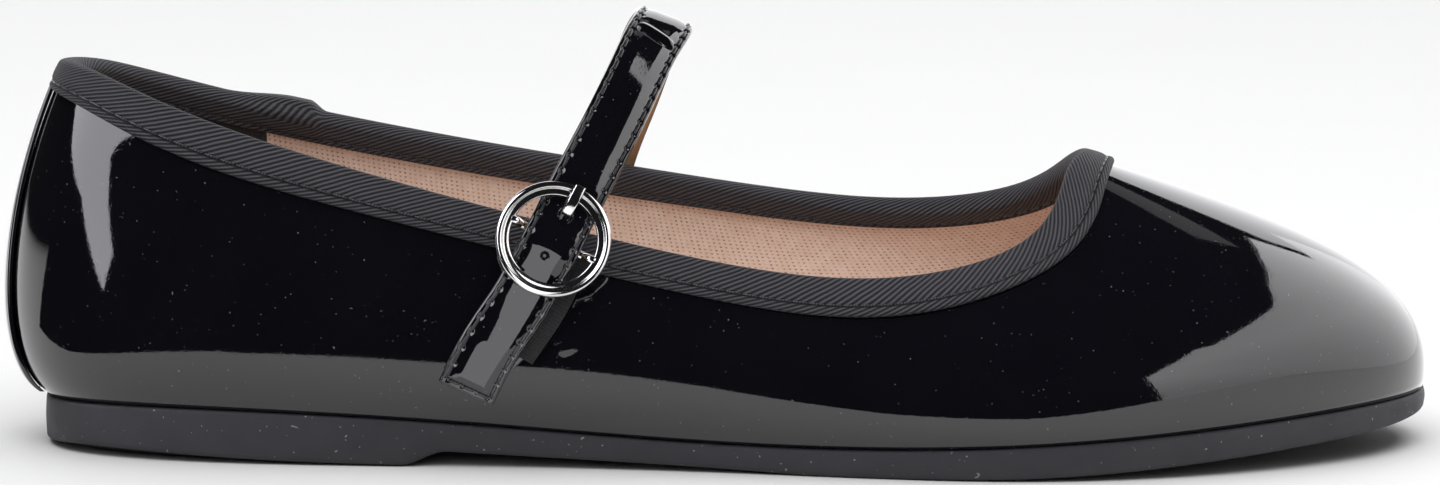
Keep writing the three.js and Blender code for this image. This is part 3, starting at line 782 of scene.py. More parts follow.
def make_binding():
    u = np.linspace(0, COUNT, 1400, endpoint=False)
    outline = ribbon_outline()
    lump = join_lump(u)[None, :]
    over = outline[:, 2:3]
    away = outline[:, 1:2] + WALL / 2
    width = np.where(away > 0, binding_width(u)[None, :], binding_width(u, inside=True)[None, :])
    down = outline[:, 0:1] * width - over * (GAP + BINDING_THICKNESS + lump)
    outer_skin = np.abs(away) > WALL / 2 + GAP + 0.05
    offset = outline[:, 1:2] + np.sign(away) * outer_skin * lump * JOIN_OUTWARD * (1 - outline[:, 0:1])
    grid = below_topline(u[None, :], down, offset)
    along = loop_lengths(grid[FOLD_ROW])
    across = loop_lengths(grid[:, WIDTH_COLUMN])
    piece = band_object("binding_ribbon", grid, along, across, RIBBON, closed=True)
    register(piece, "ribbon", "topline_binding")


STITCH_LIFT = 0.66       # height of the ribbon's stitches as a share of its thickness
STITCH_HALF = 0.43       # half the length of one stitch as a share of the pitch


def make_binding_stitches():
    u = np.linspace(0, COUNT, 2000, endpoint=False)
    starts, ends = [], []
    height = GAP + STITCH_LIFT * BINDING_THICKNESS
    for offset, inside in ((height, False), (-WALL - height, True)):
        line = below_topline(u, STITCH_SHARE * binding_width(u, inside), offset)
        run = loop_lengths(line)
        line = np.concatenate([line, line[:1]])
        count = int(run[-1] // STITCH_PITCH)
        pitch = run[-1] / count
        middles = (np.arange(count) + 0.5) * run[-1] / count
        for sign, tips in ((-1, starts), (1, ends)):
            where = np.mod(middles + sign * pitch * STITCH_HALF, run[-1])
            tips.append(interp_points(where, run, line))
    piece = capsules("binding_stitches", np.concatenate(starts), np.concatenate(ends), 0.25,
                     RIBBON_THREAD, 6)
    register(piece, "ribbon")


# ---------------------------------------------------------------- heel strip


STRIP_HALF_WIDTH = (10.0, 6.5)           # at the bottom and at the top
STRIP_THICKNESS = 0.8
STRIP_ENDS = (1.0, 0.6)  # above the wall's lower edge, and under the ribbon
STRIP_SEAM = (0.16, 1.35, 0.22)          # depth, distance from the edge, width
STRIP_EDGE = (0.35, 0.5) # thickness at the very edge as a share, and the width of its rounding
SECTION_AT_HEEL = 24.0   # millimetres from the heel's section to the next


def round_edge(from_edge, width):
    """0 at an edge, 1 beyond a width, with a quarter circle between."""
    return np.sqrt(np.clip(1 - (1 - np.clip(from_edge / width, 0, 1)) ** 2, 0, 1))


def make_heel_strip():
    across = np.linspace(-1, 1, 73)
    rise = np.linspace(0, 1, 110)
    whole = profile_lengths(np.zeros(1))[0, -1]
    bottom = whole - STRIP_ENDS[0]
    top = spline_at(RIBBON_DOWN, np.zeros(1))[0, 0] - STRIP_ENDS[1]
    down = (bottom + (top - bottom) * rise)[None, :]
    half = (STRIP_HALF_WIDTH[0] + (STRIP_HALF_WIDTH[1] - STRIP_HALF_WIDTH[0]) * rise)[None, :]
    u = across[:, None] * half / SECTION_AT_HEEL
    from_edge = (1 - np.abs(across))[:, None] * half
    thin, rounding = STRIP_EDGE
    body = thin + (1 - thin) * round_edge(from_edge, rounding)
    seam_depth, seam_inset, seam_width = STRIP_SEAM
    seam = seam_depth * gaussian(from_edge - seam_inset, seam_width)
    outer = below_topline(u, down, GAP + STRIP_THICKNESS * body - seam)
    inner = below_topline(u[::-1], down, GAP)
    along = run_lengths(outer[len(across) // 2])
    runs = even_runs(2 * len(across), 0.25)
    piece = layer_object("heel_strip_patent", outer, inner, along, runs, PATENT)
    register(piece, "patent", "heel_strip")


# ---------------------------------------------------------------- outsole and insole


def toe_spring(x):
    """How far the underside is raised towards the toe."""
    start, height, power = TOE_SPRING
    return height * (np.maximum(0, x - start) / (SOLE_LENGTH - start)) ** power


def waist_rise(x, y):
    """How far the underside is raised between the heel's curved breast and the forefoot."""
    start, end, forward, height = WAIST
    half_width, spread = BREAST_CURVE
    forward_of_edge = x + (half_width**2 - np.minimum(np.abs(y), half_width) ** 2) / spread
    step = smooth((forward_of_edge - start) / (end - start))
    fall = np.clip((forward - x) / (forward - end), 0, 1)
    return height * step * fall


def underside(x, y):
    return toe_spring(x) + waist_rise(x, y)


def ladder(ring, columns, height=None):
    """Rows of points across the inside of a ring, from its outer side to its inner side."""
    half = len(ring) // 2
    outer = ring[: half + 1]
    inner = ring[(len(ring) - np.arange(half + 1)) % len(ring)]
    shares = np.linspace(0, 1, columns + 1)[None, :, None]
    rows = outer[:, None] * (1 - shares) + inner[:, None] * shares
    if height is not None:
        rows[..., 2] = height(rows[..., 0], rows[..., 1])
    return rows


def stacked_object(name, rings, columns, material, top_height=None, under_height=None):
    """A body from rings, top to underside, with both ends filled across the shoe."""
    size = len(rings[0])
    points = [np.asarray(ring) for ring in rings]
    faces = []
    for r in range(len(rings) - 1):
        for c in range(size):
            right = (c + 1) % size
            faces.append([r * size + c, r * size + right, (r + 1) * size + right, (r + 1) * size + c])
    base = len(rings) * size
    for end, (ring, height) in enumerate(((rings[0], top_height), (rings[-1], under_height))):
        rows = ladder(ring, columns, height)
        rows[:, 0] = ring[: size // 2 + 1]
        rows[:, -1] = ring[(size - np.arange(size // 2 + 1)) % size]
        points.append(rows.reshape(-1, 3))
        for r in range(len(rows) - 1):
            for c in range(columns):
                a = base + r * (columns + 1) + c
                quad = [a, a + 1, a + columns + 2, a + columns + 1]
                faces.append(quad if end == 0 else quad[::-1])
        base += len(rows) * (columns + 1)
    piece = make_object(name, np.concatenate(points), faces, None, material)
    weld(piece)
    return piece


def weld(piece):
    """Joins the corners that lie together and turns every face outwards."""
    work = bmesh.new()
    work.from_mesh(piece.data)
    bmesh.ops.remove_doubles(work, verts=work.verts, dist=1e-6)
    bmesh.ops.dissolve_degenerate(work, edges=work.edges, dist=1e-7)
    bmesh.ops.recalc_face_normals(work, faces=work.faces)
    work.to_mesh(piece.data)
    work.free()
    shade_smooth(piece.data)


def at_height(points, height):
    points = points.copy()
    points[:, 2] = height
    return points


# Rings of the sole, by how far they are drawn in: the shoulder by its drop below the seat, the lower edge
# by its lift above the ground, and the start of the tread, which passes over to the underside.
SHOULDER_RINGS = ((2.6, 0.4), (0.9, 0.02), (0.35, 0.0), (0.0, 0.1), (-0.2, 0.3), (-0.3, 0.65))
LOWER_RINGS = ((-0.24, 0.7), (-0.05, 0.36), (0.3, 0.14), (0.8, 0.05))
TREAD_INSETS = (1.8, 3.2, 4.6, 6.0)
SIDE_SWELL = 0.12
SIDE_FOOT = 1.15         # where the sole's side ends above the ground


def make_outsole():
    u = np.linspace(0, COUNT, 720, endpoint=False)
    rim = feather(u)
    seat = rim[:, 2] - GAP / 2
    ground = spline_at(GROUND, u)[:, 0] + waist_rise(rim[:, 0], rim[:, 1])
    rings = [at_height(footprint(u, inset), seat - drop) for inset, drop in SHOULDER_RINGS]
    low, high = ground + SIDE_FOOT, seat - SHOULDER_RINGS[-1][1]
    for share in np.linspace(0, 1, 8)[1:]:
        swell = SIDE_SWELL * math.sin(math.pi * share)
        rings.append(at_height(footprint(u, -SOLE_PROUD - swell), high + (low - high) * share))
    rings += [at_height(footprint(u, inset), ground + lift) for inset, lift in LOWER_RINGS]
    edge_inset, edge_lift = LOWER_RINGS[-1]
    for inset in TREAD_INSETS:
        ring = footprint(u, inset)
        share = smooth((inset - edge_inset) / (TREAD_INSETS[-1] - edge_inset))
        flat = underside(ring[:, 0], ring[:, 1])
        rings.append(at_height(ring, (ground + edge_lift) * (1 - share) + flat * share))
    piece = stacked_object("outsole_rubber", rings, 24, RUBBER, under_height=underside)
    register(piece, "rubber", "outsole")


# Rings of the insole from its face down: how far they are drawn in, and their lift above its base.
INSOLE_RINGS = ((4.0, 2.55), (3.0, 2.5), (2.5, 2.35), (2.2, 2.0), (2.1, 1.5), (2.1, 0.0))


def make_insole():
    u = np.linspace(0, COUNT, 480, endpoint=False)
    base = feather(u)[:, 2] + GAP
    rings = [at_height(footprint(u, inset), base + lift) for inset, lift in INSOLE_RINGS]
    piece = stacked_object("insole_sock", rings, 12, SOCK)
    register(piece, "sock", "insole")


# ---------------------------------------------------------------- strap

BUCKLE_CENTRE = np.array([90, -32.9, 40.6])
STRAP_LEAN = 27.6        # degrees from upright towards the toe
STRAP_TILT = 14.0        # degrees inwards, at the buckle
STRAIGHT_REACH = 10.5    # the strap runs straight this far either side of the buckle's bar


def lean_direction(lean, tilt=0.0):
    """A direction turned from upright towards the toe, and inwards, in degrees."""
    lean, tilt = np.radians(lean), np.radians(tilt)
    inwards = np.full(np.shape(lean), np.sin(tilt))
    return np.stack([np.sin(lean) * np.cos(tilt), inwards, np.cos(lean) * np.cos(tilt)], axis=-1)


BUCKLE_UP = lean_direction(STRAP_LEAN, STRAP_TILT)
BUCKLE_ACROSS = lean_direction(90 + STRAP_LEAN)


def near_buckle(reach):
    return tuple(BUCKLE_CENTRE + BUCKLE_UP * reach)


# The strap's middle line from its free end to its sewn end: point, how far its width turns down
# towards the toe, and how far its face turns towards the toe, in degrees.
STRAP_ROUTE = (
    ("free end", (75.2, -35.6, 14.3), STRAP_LEAN, 0),
    ("on the quarter", (80.1, -36.2, 23.8), STRAP_LEAN, 0),
    ("below the buckle", near_buckle(-STRAIGHT_REACH), STRAP_LEAN, 0),
    ("lower ring edge", near_buckle(-STRAIGHT_REACH / 2), STRAP_LEAN, 0),
    ("buckle", near_buckle(0), STRAP_LEAN, 0),
    ("upper ring edge", near_buckle(STRAIGHT_REACH / 2), STRAP_LEAN, 0),
    ("above the buckle", near_buckle(STRAIGHT_REACH), STRAP_LEAN, 0),
    ("outer rise", (99.9, -25.2, 59.3), STRAP_LEAN, 9),
    ("outer shoulder", (103.9, -17.6, 66.9), 26, 13),
    ("outer crown", (106.9, -8.8, 72.2), 23, 9),
    ("crown", (109, 1, 74.5), 20, 2),
    ("inner crown", (107.6, 10.5, 72.2), 18, 0),
    ("inner shoulder", (105.2, 18.8, 65.9), 17, 0),
    ("inner fall", (102.2, 25.4, 57), 19, 0),
    ("above the topline", (99.5, 30.2, 49.6), 20, 0),
    ("topline", (97.4, 33.2, 42.5), 18, 0),
    ("on the inner quarter", (95.6, 34.6, 34.5), 15, 0),
    ("sewn end", (94.2, 34.6, 27), 14, 0),
)


def natural_spline(knots, values, places):
    """A smooth curve through the values at the knots, with free ends."""
    values = np.asarray(values, float)
    count = len(knots)
    gaps = np.diff(knots)
    matrix = np.eye(count)
    sides = np.zeros_like(values)
    for i in range(1, count - 1):
        matrix[i, i - 1 : i + 2] = (gaps[i - 1], 2 * (gaps[i - 1] + gaps[i]), gaps[i])
        rise = (values[i + 1] - values[i]) / gaps[i] - (values[i] - values[i - 1]) / gaps[i - 1]
        sides[i] = 6 * rise
    bends = np.linalg.solve(matrix, sides)
    k = np.clip(np.searchsorted(knots, places, side="right") - 1, 0, count - 2)
    h = gaps[k][:, None]
    a = (knots[k + 1] - places)[:, None]
    b = (places - knots[k])[:, None]
    curve = (bends[k] * a**3 + bends[k + 1] * b**3) / (6 * h)
    before = (values[k] / h - bends[k] * h / 6) * a
    return curve + before + (values[k + 1] / h - bends[k + 1] * h / 6) * b


ROUTE_POINTS = np.array([row[1] for row in STRAP_ROUTE])
ROUTE_KNOTS = run_lengths(ROUTE_POINTS)
ROUTE_LEANS = np.array([row[2] for row in STRAP_ROUTE])
ROUTE_TURNS = np.array([row[3] for row in STRAP_ROUTE])
CREASE_ROW = 9           # the kink is at this row of the route
PATH_STEPS = 3000


class StrapPath:
    """The strap's middle line by its real length, with its across and outward directions."""

    def __init__(self):
        places = np.linspace(0, ROUTE_KNOTS[-1], PATH_STEPS)
        self.points = natural_spline(ROUTE_KNOTS, ROUTE_POINTS, places)
        self.lean = np.interp(places, ROUTE_KNOTS, ROUTE_LEANS)
        self.turn = np.radians(np.interp(places, ROUTE_KNOTS, ROUTE_TURNS))
        self.run = run_lengths(self.points)
        self.tangents = unit(np.gradient(self.points, self.run, axis=0))
        self.length = self.run[-1]
        self.buckle = self.nearest(BUCKLE_CENTRE)
        self.crease = self.nearest(ROUTE_POINTS[CREASE_ROW])

    def nearest(self, point):
        return self.run[np.argmin(np.linalg.norm(self.points - point, axis=1))]

    def at(self, distance):
        """Centre, and directions along, across to the toe side and outward, at distances along."""
        centre = interp_points(distance, self.run, self.points)
        along = unit(interp_points(distance, self.run, self.tangents))
        across = lean_direction(90 + np.interp(distance, self.run, self.lean))
        across = unit(across - along * (across * along).sum(axis=-1, keepdims=True))
        turn = np.interp(distance, self.run, self.turn)[..., None]
        across = across * np.cos(turn) + np.cross(along, across) * np.sin(turn)
        return centre, along, across, np.cross(across, along)

    def place(self, distance, side, out):
        """Points at a distance along, a distance to the toe side, and a height above the middle line."""
        centre, _, across, outward = self.at(np.asarray(distance, float))
        return centre + across * np.asarray(side)[..., None] + outward * np.asarray(out)[..., None]


STRAP = StrapPath()
STITCH_SIDE = 4.15       # the strap's stitch lines, either side of its middle
END_INSET = 1.1          # the stitch lines across its ends
PRONG_HOLE = 4.75        # from the buckle's bar towards the crown
SPARE_HOLE = -3.2        # and back towards the free end
NEEDLE_HOLE = (0.42, 0.42)               # depth and width of each hollow of the patent face
SIDE_GROOVE = (0.16, 0.38)
END_GROOVE = (0.14, 0.38)
EDGE_FALL = (0.55, 0.7)
SPARE_CUT = (1.0, 0.45, 0.3)             # depth, radius, softness of its rim
SLOT_CUT = (0.9, 1.35, 1.2)              # depth, half length, half width
# The kink's folds: height, distance past its middle, width, and whether they bow to the crown or back.
KINKS = ((-0.55, 0.0, 0.42, 1), (0.25, 1.1, 0.6, 1), (-0.3, -0.25, 0.35, -1))
KINK_BOW = 0.35


def hump(distance):
    """How far the strap is lifted over the buckle's bar."""
    height, flat, reach = HUMP
    away = np.maximum(0, np.abs(distance - STRAP.buckle) - flat)
    return height * (1 - smooth(away / (reach - flat)))


def edge_stitches():
    """Places of the needle holes: distances along the sides, and across the ends."""
    count = int(round((STRAP.length - 2 * END_INSET) / STITCH_PITCH))
    along = np.linspace(END_INSET, STRAP.length - END_INSET, count + 1)
    across = np.linspace(-STITCH_SIDE, STITCH_SIDE, 4)
    return along, across


def strap_relief(distance, side):
    """Height of the patent face above its plain thickness."""
    half = STRAP_WIDTH / 2
    from_side = half - np.abs(side)
    from_end = np.minimum(distance, STRAP.length - distance)
    relief = np.zeros(np.broadcast(distance, side).shape)
    fall, rounding = EDGE_FALL
    for away in (from_side, from_end):
        relief -= fall * (1 - round_edge(away, rounding))
    relief += 0.22 * smooth((from_side - 1.2) / 2.2) * smooth((from_end - 1.2) / 2.0)
    depth, width = SIDE_GROOVE
    relief -= depth * gaussian(from_side - (half - STITCH_SIDE), width) * (from_end >= END_INSET)
    hole_depth, hole_width = NEEDLE_HOLE
    along, across = edge_stitches()
    pitch = along[1] - along[0]
    nearest = along[0] + np.round((distance - along[0]) / pitch) * pitch
    for line in (-STITCH_SIDE, STITCH_SIDE):
        relief -= hole_depth * gaussian(np.hypot(distance - nearest, side - line), hole_width)
    depth, width = END_GROOVE
    for end in (END_INSET, STRAP.length - END_INSET):
        relief -= depth * gaussian(distance - end, width) * (np.abs(side) < STITCH_SIDE)
        for hole in across[1:-1]:
            relief -= hole_depth * gaussian(np.hypot(distance - end, side - hole), hole_width)
    within = smooth((STITCH_SIDE - 0.3 - np.abs(side)) / 1.2)
    bow = KINK_BOW * (1 - (side / STITCH_SIDE) ** 2)
    for height, past, width, way in KINKS:
        relief += within * height * gaussian(distance - STRAP.crease - way * bow - past, width)
    depth, radius, rim = SPARE_CUT
    spare = np.hypot(distance - STRAP.buckle - SPARE_HOLE, side)
    relief -= depth * (1 - smooth((spare - radius) / rim))
    depth, half_length, half_width = SLOT_CUT
    slot = np.hypot((distance - STRAP.buckle - PRONG_HOLE) / half_length, side / half_width)
    relief -= depth * (1 - smooth((slot - 0.8) / 0.25))
    return relief


LINING_INSET = 0.15      # the strap's lining ends short of its patent


def strap_band(name, distance, top, under, half_width, material, relief=None):
    """A layer of the strap between two heights above its middle line."""
    side = np.concatenate([[-half_width], np.linspace(-half_width, half_width, 53), [half_width]])
    under_side = np.linspace(half_width - 0.05, -half_width + 0.05, 7)
    lift = hump(distance)[None, :]
    heights = np.full((len(side), len(distance)), float(top))
    if relief is not None:
        heights += relief(distance[None, :], side[:, None])
        heights[0] = heights[1] - 0.25
        heights[-1] = heights[-2] - 0.25
    upper = STRAP.place(distance[None, :], side[:, None], heights + lift)
    lower = STRAP.place(distance[None, :], under_side[:, None], under + lift)
    across = np.concatenate([side, side[-1] + np.arange(1, len(under_side) + 2)])
    return layer_object(name, upper, lower, distance, across, material)


def make_strap():
    distance = np.linspace(0, STRAP.length, 800)
    top = STRAP_THICKNESS / 2
    split = top - STRAP_LEATHER
    half = STRAP_WIDTH / 2
    leather = strap_band("strap_patent", distance, top, split, half, STRAP_PATENT, strap_relief)
    register(leather, "patent", "strap")
    inner = np.linspace(LINING_INSET, STRAP.length - LINING_INSET, 240)
    lining = strap_band("strap_lining", inner, split - 0.02, -top, half - LINING_INSET, TAN)
    register(lining, "sock")


THREAD_INSET = 0.3       # a stitch ends this far inside its needle holes
THREAD_SINK = 0.02       # and its middle lies this far below the patent face


def make_strap_stitches():
    along, across = edge_stitches()
    stitches = [(first + THREAD_INSET, line, second - THREAD_INSET, line)
                for line in (-STITCH_SIDE, STITCH_SIDE) for first, second in zip(along[:-1], along[1:])]
    stitches += [(end, first + THREAD_INSET, end, second - THREAD_INSET)
                 for end in (along[0], along[-1]) for first, second in zip(across[:-1], across[1:])]
    height = STRAP_THICKNESS / 2 - THREAD_SINK
    tips = [STRAP.place(distance, side, height + hump(distance))
            for distance, side in np.array(stitches).reshape(-1, 2, 2).transpose(1, 2, 0)]
    piece = capsules("strap_stitches", *tips, 0.27, THREAD, 8)
    register(piece, "ribbon")


TAB_THICKNESS, TAB_HALF_WIDTH = 0.85, 4.8
TAB_SHIFT = 3.2          # the tab's middle lies to the toe side of the strap's
TAB_ROUNDING, TAB_EDGE_POWER = 0.3, 12


def make_elastic_tab():
    below = STRAP_THICKNESS / 2 + GAP
    distance = np.linspace(ROUTE_KNOTS[1] - 0.5, STRAP.buckle + 0.1, 160)
    face = np.linspace(-TAB_HALF_WIDTH, TAB_HALF_WIDTH, 41)
    bend = np.sqrt(np.clip(1 - (np.abs(face) / TAB_HALF_WIDTH) ** TAB_EDGE_POWER, 0, 1))
    side = np.concatenate([face, face[::-1]])
    heights = np.concatenate([-below - TAB_ROUNDING * (1 - bend), np.full(41, -below - TAB_THICKNESS)])
    grid = STRAP.place(distance[None, :], side[:, None] + TAB_SHIFT, heights[:, None])
    across = np.concatenate([side, side[:1]])
    piece = band_object("elastic_band", grid, distance, across, ELASTIC, closed=False)
    register(piece, "elastic", "elastic_tab")


# ---------------------------------------------------------------- buckle


def on_buckle(points):
    """From the buckle's own axes (across the strap, up along it, outward) to the shoe's sizes."""
    axes = np.stack([BUCKLE_ACROSS, BUCKLE_UP, np.cross(BUCKLE_ACROSS, BUCKLE_UP)])
    return BUCKLE_CENTRE + sum(np.asarray(points)[..., k, None] * axes[k] for k in range(3))


RING_BASE = STRAP_THICKNESS / 2 + GAP    # the ring's underside above the strap's middle line
# The ring's section: radius, and height above its underside.
RING_PROFILE = (
    (7.62, 0.12), (7.6, 0.3), (7.6, 0.95), (7.66, 1.15), (7.85, 1.25), (8.3, 1.28), (8.66, 1.3),
    (8.78, 1.38), (8.84, 1.55), (8.9, 1.75), (9.05, 1.92), (9.28, 2.0), (9.52, 1.97), (9.76, 1.84),
    (9.92, 1.62), (10.0, 1.35), (10.0, 0.6), (9.95, 0.35), (9.8, 0.12), (9.6, 0.02), (8.8, 0.0),
    (7.85, 0.0),
)


def make_ring():
    turns = np.linspace(0, 2 * math.pi, 160, endpoint=False)
    radius, height = np.array(RING_PROFILE).T[..., None]
    heights = height + RING_BASE + 0 * turns
    flat = np.stack([radius * np.cos(turns), radius * np.sin(turns), heights], axis=-1)
    piece = band_object("buckle_ring", on_buckle(flat), even_runs(len(turns), 0.35),
                        even_runs(len(RING_PROFILE), 0.3), NICKEL, closed=True)
    register(piece, "chrome", "buckle_frame")


def tube(centres, ups, half_across, half_up, sides, power):
    """A rounded section swept along points: grid[side, place]."""
    tangents = unit(np.gradient(centres, axis=0))
    sideways = unit(np.cross(tangents, ups))
    outward = np.cross(sideways, tangents)
    angles = np.linspace(0, 2 * math.pi, sides, endpoint=False)[:, None, None]
    cosine, sine = np.cos(angles), np.sin(angles)
    x = np.sign(cosine) * np.abs(cosine) ** (2 / power) * half_across
    y = np.sign(sine) * np.abs(sine) ** (2 / power) * half_up
    return centres + sideways * x + outward * y


# Where the bar's middle line and the tongue's run: across or up from the buckle's centre, and height.
BAR_JOIN = RING_BASE + 0.65
HALF_BAR = ((0, 0.15), (5.2, 0.15), (6.3, 0.55), (7.1, BAR_JOIN - 0.1), (7.9, BAR_JOIN))
BAR_ROUTE = tuple((-place, height) for place, height in HALF_BAR[:0:-1]) + HALF_BAR
BAR_RADIUS = 0.75
TONGUE_HALF = (0.48, 0.9)                # half its thickness and half its width
TONGUE_OVER = RING_BASE + RING_THICKNESS + 0.62   # it rests on the ring, by a hair's gap
TONGUE_ROUTE = ((1.3, 0.0), (3.0, 0.3), (4.4, 1.5), (5.8, 3.0), (7.4, TONGUE_OVER),
                (8.8, TONGUE_OVER + 0.1), (10.2, TONGUE_OVER))
TONGUE_TIP = 0.975       # the tongue is rounded from this share of its length


def metal_tube(name, route, axis, places, ups, half_across, half_up, sides, power=2.0):
    """A tube along a route drawn in the plane of one of the buckle's axes and its outward one."""
    line = natural_spline(np.linspace(0, 1, len(route)), route, places)
    flat = np.zeros((len(places), 3))
    flat[:, [axis, 2]] = line
    centres = on_buckle(flat)
    grid = tube(centres, np.broadcast_to(ups, centres.shape), half_across, half_up, sides, power)
    return band_object(name, grid, run_lengths(centres), even_runs(sides, 0.24), NICKEL, closed=False)


def make_bar():
    places = np.linspace(0, 1, 72)
    piece = metal_tube("buckle_bar", BAR_ROUTE, 0, places, BUCKLE_UP, BAR_RADIUS, BAR_RADIUS, 20)
    register(piece, "chrome")


def make_tongue():
    places = np.linspace(0, 1, 60)
    beyond = np.clip((places - TONGUE_TIP) / (1 - TONGUE_TIP), 0, 1)
    half_thick, half_wide = TONGUE_HALF
    thick = (half_thick * np.sqrt(np.clip(1 - beyond**2, 0.05, 1)))[:, None]
    piece = metal_tube("buckle_tongue", TONGUE_ROUTE, 1, places, BUCKLE_ACROSS, thick, half_wide, 24, 6.0)
    register(piece, "chrome", "buckle_prong")


# ---------------------------------------------------------------- stage, lights and camera

CAMERA_AIM = (118.85, 0.0, 35.4)         # the middle of the picture, in the shoe's sizes
CAMERA_RISE = 8.5        # degrees the camera looks down
CAMERA_ROLL = 0.25       # degrees
CAMERA_DISTANCE = 1300.0
VIEW_WIDTH = 253.9       # millimetres across the picture at the distance of the aim
SENSOR = 36.0


def make_camera():
    data = bpy.data.cameras.new("camera")
    data.sensor_width = SENSOR
    data.lens = SENSOR * CAMERA_DISTANCE / VIEW_WIDTH
    data.clip_start, data.clip_end = 0.05, 30
    camera = link_object("camera", data)
    rise = math.radians(CAMERA_RISE)
    away = Vector((0, -math.cos(rise), math.sin(rise))) * CAMERA_DISTANCE * MM
    aim = Vector(to_world(CAMERA_AIM))
    turn = (-away).to_track_quat("-Z", "Y").to_matrix().to_4x4()
    roll = Matrix.Rotation(math.radians(CAMERA_ROLL), 4, "Z")
    camera.matrix_world = Matrix.Translation(aim + away) @ turn @ roll
    bpy.context.scene.camera = camera


def flat_sheet(name, corners, material):
    mesh = bpy.data.meshes.new(name)
    mesh.from_pydata(corners, [], [tuple(range(len(corners)))])
    mesh.materials.append(material)
    sheet = link_object(name, mesh)
    return sheet


def gloss_only(sheet):
    """Leaves a sheet to be seen by mirror rays alone."""
    sheet.visible_camera = sheet.visible_diffuse = sheet.visible_shadow = False


# The table that the gloss mirrors, in metres: height, and outline with its front edge towards the camera.
TABLE_RISE = 0.0002
TABLE_EDGE = (
    (-3.0, 0.03), (-0.19, 0.0), (-0.145, -0.03), (-0.115, -0.06), (-0.09, -0.075), (-0.045, -0.105),
    (-0.02, -0.1), (0.02, -0.075), (0.06, -0.08), (0.13, -0.13), (3.0, -1.2), (3.0, 3.0), (-3.0, 3.0),
)


def make_floor():
    """A wide floor that the camera sees, and over it the table that the gloss mirrors."""
    pale = plain_floor()
    floor = flat_sheet("floor", [(-6, -6, 0), (6, -6, 0), (6, 6, 0), (-6, 6, 0)], pale)
    floor.visible_glossy = False
    gloss_only(flat_sheet("table", [(x, y, TABLE_RISE) for x, y in TABLE_EDGE], pale))


def from_bearing(centre, distance, bearing, height):
    """A point seen from the centre at a bearing to the right of the camera and a height, in degrees."""
    turn, rise = math.radians(bearing), math.radians(height)
    flat = math.cos(rise)
    step = Vector((math.sin(turn) * flat, -math.cos(turn) * flat, math.sin(rise)))
    return Vector(centre) + step * distance


CARD_FADE_RISE = 0.3     # metres over which a card comes to its full brightness


def gloss_card(name, corners, radiance, color, low_share=1.0):
    """A lit card that only the gloss mirrors; low_share is its brightness at the floor."""
    s = Shader(name, (0, 0, 0), 1.0, Specular_IOR_Level=0.0, Emission_Strength=radiance)
    patchy = s.mix(s.noise(400, 1), tuple(0.9 * c for c in color), color)
    rise = s.node("ShaderNodeSeparateXYZ", {0: s.place()}).outputs[2]
    lit = s.mix(s.ramp(rise, 0.0, CARD_FADE_RISE), tuple(low_share * c for c in color), patchy)
    s.give("Emission Color", lit)
    gloss_only(flat_sheet(name, [tuple(corner) for corner in corners], s.material))


# Places on the strap's free end whose mirror lines draw the card in front of it: distance along, and to
# the toe side.
END_CARD_PLACES = (
    (0.3, -5.2), (3.5, -3.4), (8.5, -3.2), (10.0, -1.0), (14.5, -1.6), (18.0, -4.4), (22.5, -5.2),
    (24.5, 0.0), (23.5, 4.4), (12.0, 4.8), (6.0, 4.4), (0.3, 3.6),
)
END_CARD_Y = -43.5       # how far out the card stands


def end_card_outline():
    """A card close in front of the strap's free end, drawn where the end mirrors it."""
    rise = math.radians(CAMERA_RISE)
    view = np.array([0, math.cos(rise), -math.sin(rise)])
    corners = []
    for distance, side in END_CARD_PLACES:
        normal = STRAP.at(np.array([distance]))[3][0]
        start = STRAP.place([distance], [side], [STRAP_THICKNESS / 2])[0]
        mirrored = view - 2 * (view @ normal) * normal
        corners.append(start + mirrored * (END_CARD_Y - start[1]) / mirrored[1])
    return to_world(corners)


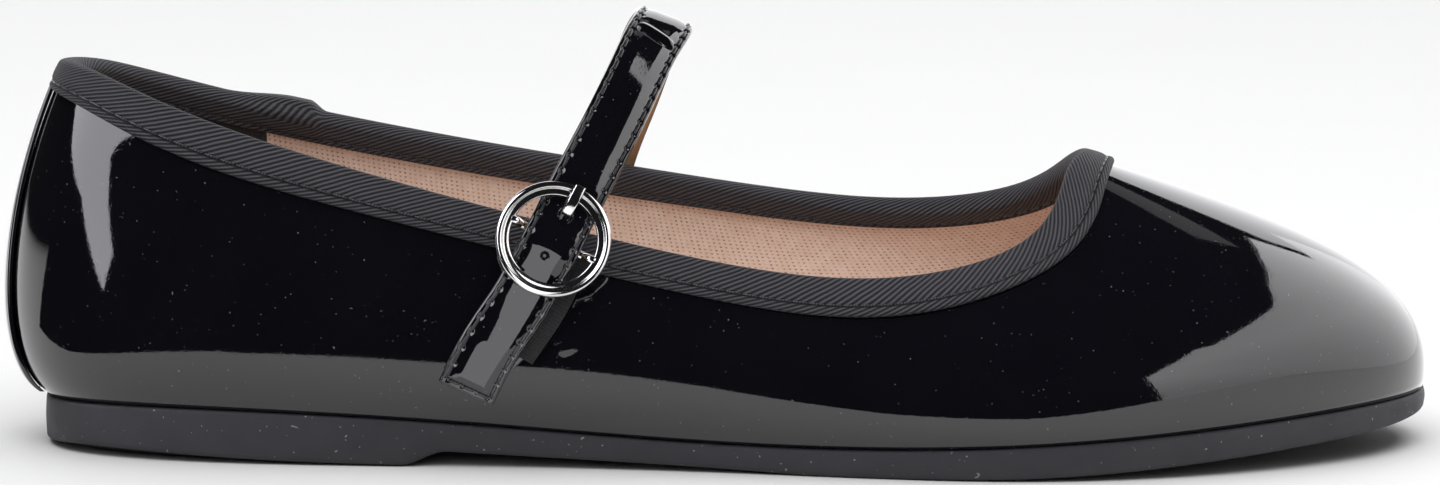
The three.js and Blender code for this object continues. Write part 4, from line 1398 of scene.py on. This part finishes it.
# Cards round the shoe: centre and distance in metres, radiance, colour, share of brightness at the floor,
# and outline in bearings and heights, in degrees as seen from the centre.
CARDS = (
    ("heel_card", (-0.105, -0.02, 0.045), 1.0, 3.4, (0.93, 0.93, 1.0), 1.0,
     ((-45, -10), (-40, 0), (-43, 11), (-44, 22), (-38, 27), (-26, 33), (-26, 62), (-70, 62), (-110, 55),
      (-110, 24), (-84, 16), (-62, 10), (-52, 0))),
    ("toe_card", (0.09, -0.02, 0.025), 1.0, 1.9, (1.0, 0.985, 1.0), 0.62,
     ((34, -12), (27, 18), (40, 32), (52, 33), (64, 38), (88, 47), (109, 51), (136, 46), (150, 38),
      (150, 29), (159, 25), (159, -12), (90, -12))),
    ("back_card", (0.05, 0.0, 0.04), 1.3, 1.35, (0.98, 0.98, 1.0), 1.0,
     ((150, -8), (150, 33), (165, 36), (180, 38), (205, 38), (218, 30), (218, -8))),
    ("ceiling_card", (0.08, 0.0, 0.04), 1.0, 0.28, (1.0, 1.0, 1.0), 1.0,
     ((138, 47), (165, 43), (195, 44), (200, 58), (165, 60), (135, 56))),
)


def area_light(name, place, aim, width, height, radiance):
    """A soft panel that lights the shoe but isn't mirrored; radiance is how bright its face is."""
    data = bpy.data.lights.new(name, "AREA")
    data.shape = "RECTANGLE"
    data.size, data.size_y = width, height
    data.energy = radiance * math.pi * width * height
    light = link_object(name, data)
    light.location = place
    light.rotation_euler = (Vector(aim) - Vector(place)).to_track_quat("-Z", "Y").to_euler()
    light.visible_glossy = False


def make_world():
    world = bpy.data.worlds.new("studio")
    bpy.context.scene.world = world
    world.use_nodes = True
    backdrop = world.node_tree.nodes["Background"]
    backdrop.inputs["Color"].default_value = (0.9, 0.9, 0.92, 1)
    backdrop.inputs["Strength"].default_value = 0.01


def make_studio():
    make_floor()
    make_world()
    for name, centre, distance, radiance, color, low_share, outline in CARDS:
        corners = [from_bearing(centre, distance, bearing, height) for bearing, height in outline]
        gloss_card(name, corners, radiance, color, low_share)
    gloss_card("strap_end_card", end_card_outline(), 1.7, (0.96, 0.96, 1.0))
    area_light("overhead", (0, 0.0, 1.3), (0, 0.0, 0), 2.2, 2.2, 1.7)
    area_light("front_fill", (-0.2, -1.6, 0.8), (0, 0, 0), 1.6, 0.9, 0.9)
    area_light("collar_fill", (0.05, -0.95, 1.05), (0, 0, 0.04), 1.0, 0.6, 2.8)
    area_light("back_fill", (0, 1.5, 0.7), (0, 0, 0), 2.0, 1.0, 0.9)
    bpy.context.scene.view_settings.view_transform = "Standard"


# ---------------------------------------------------------------- the shoe

make_camera()
make_outsole()
make_insole()
make_upper()
make_lining()
make_counter_lining()
make_binding()
make_binding_stitches()
make_heel_strip()
make_strap()
make_strap_stitches()
make_elastic_tab()
make_ring()
make_bar()
make_tongue()
make_studio()
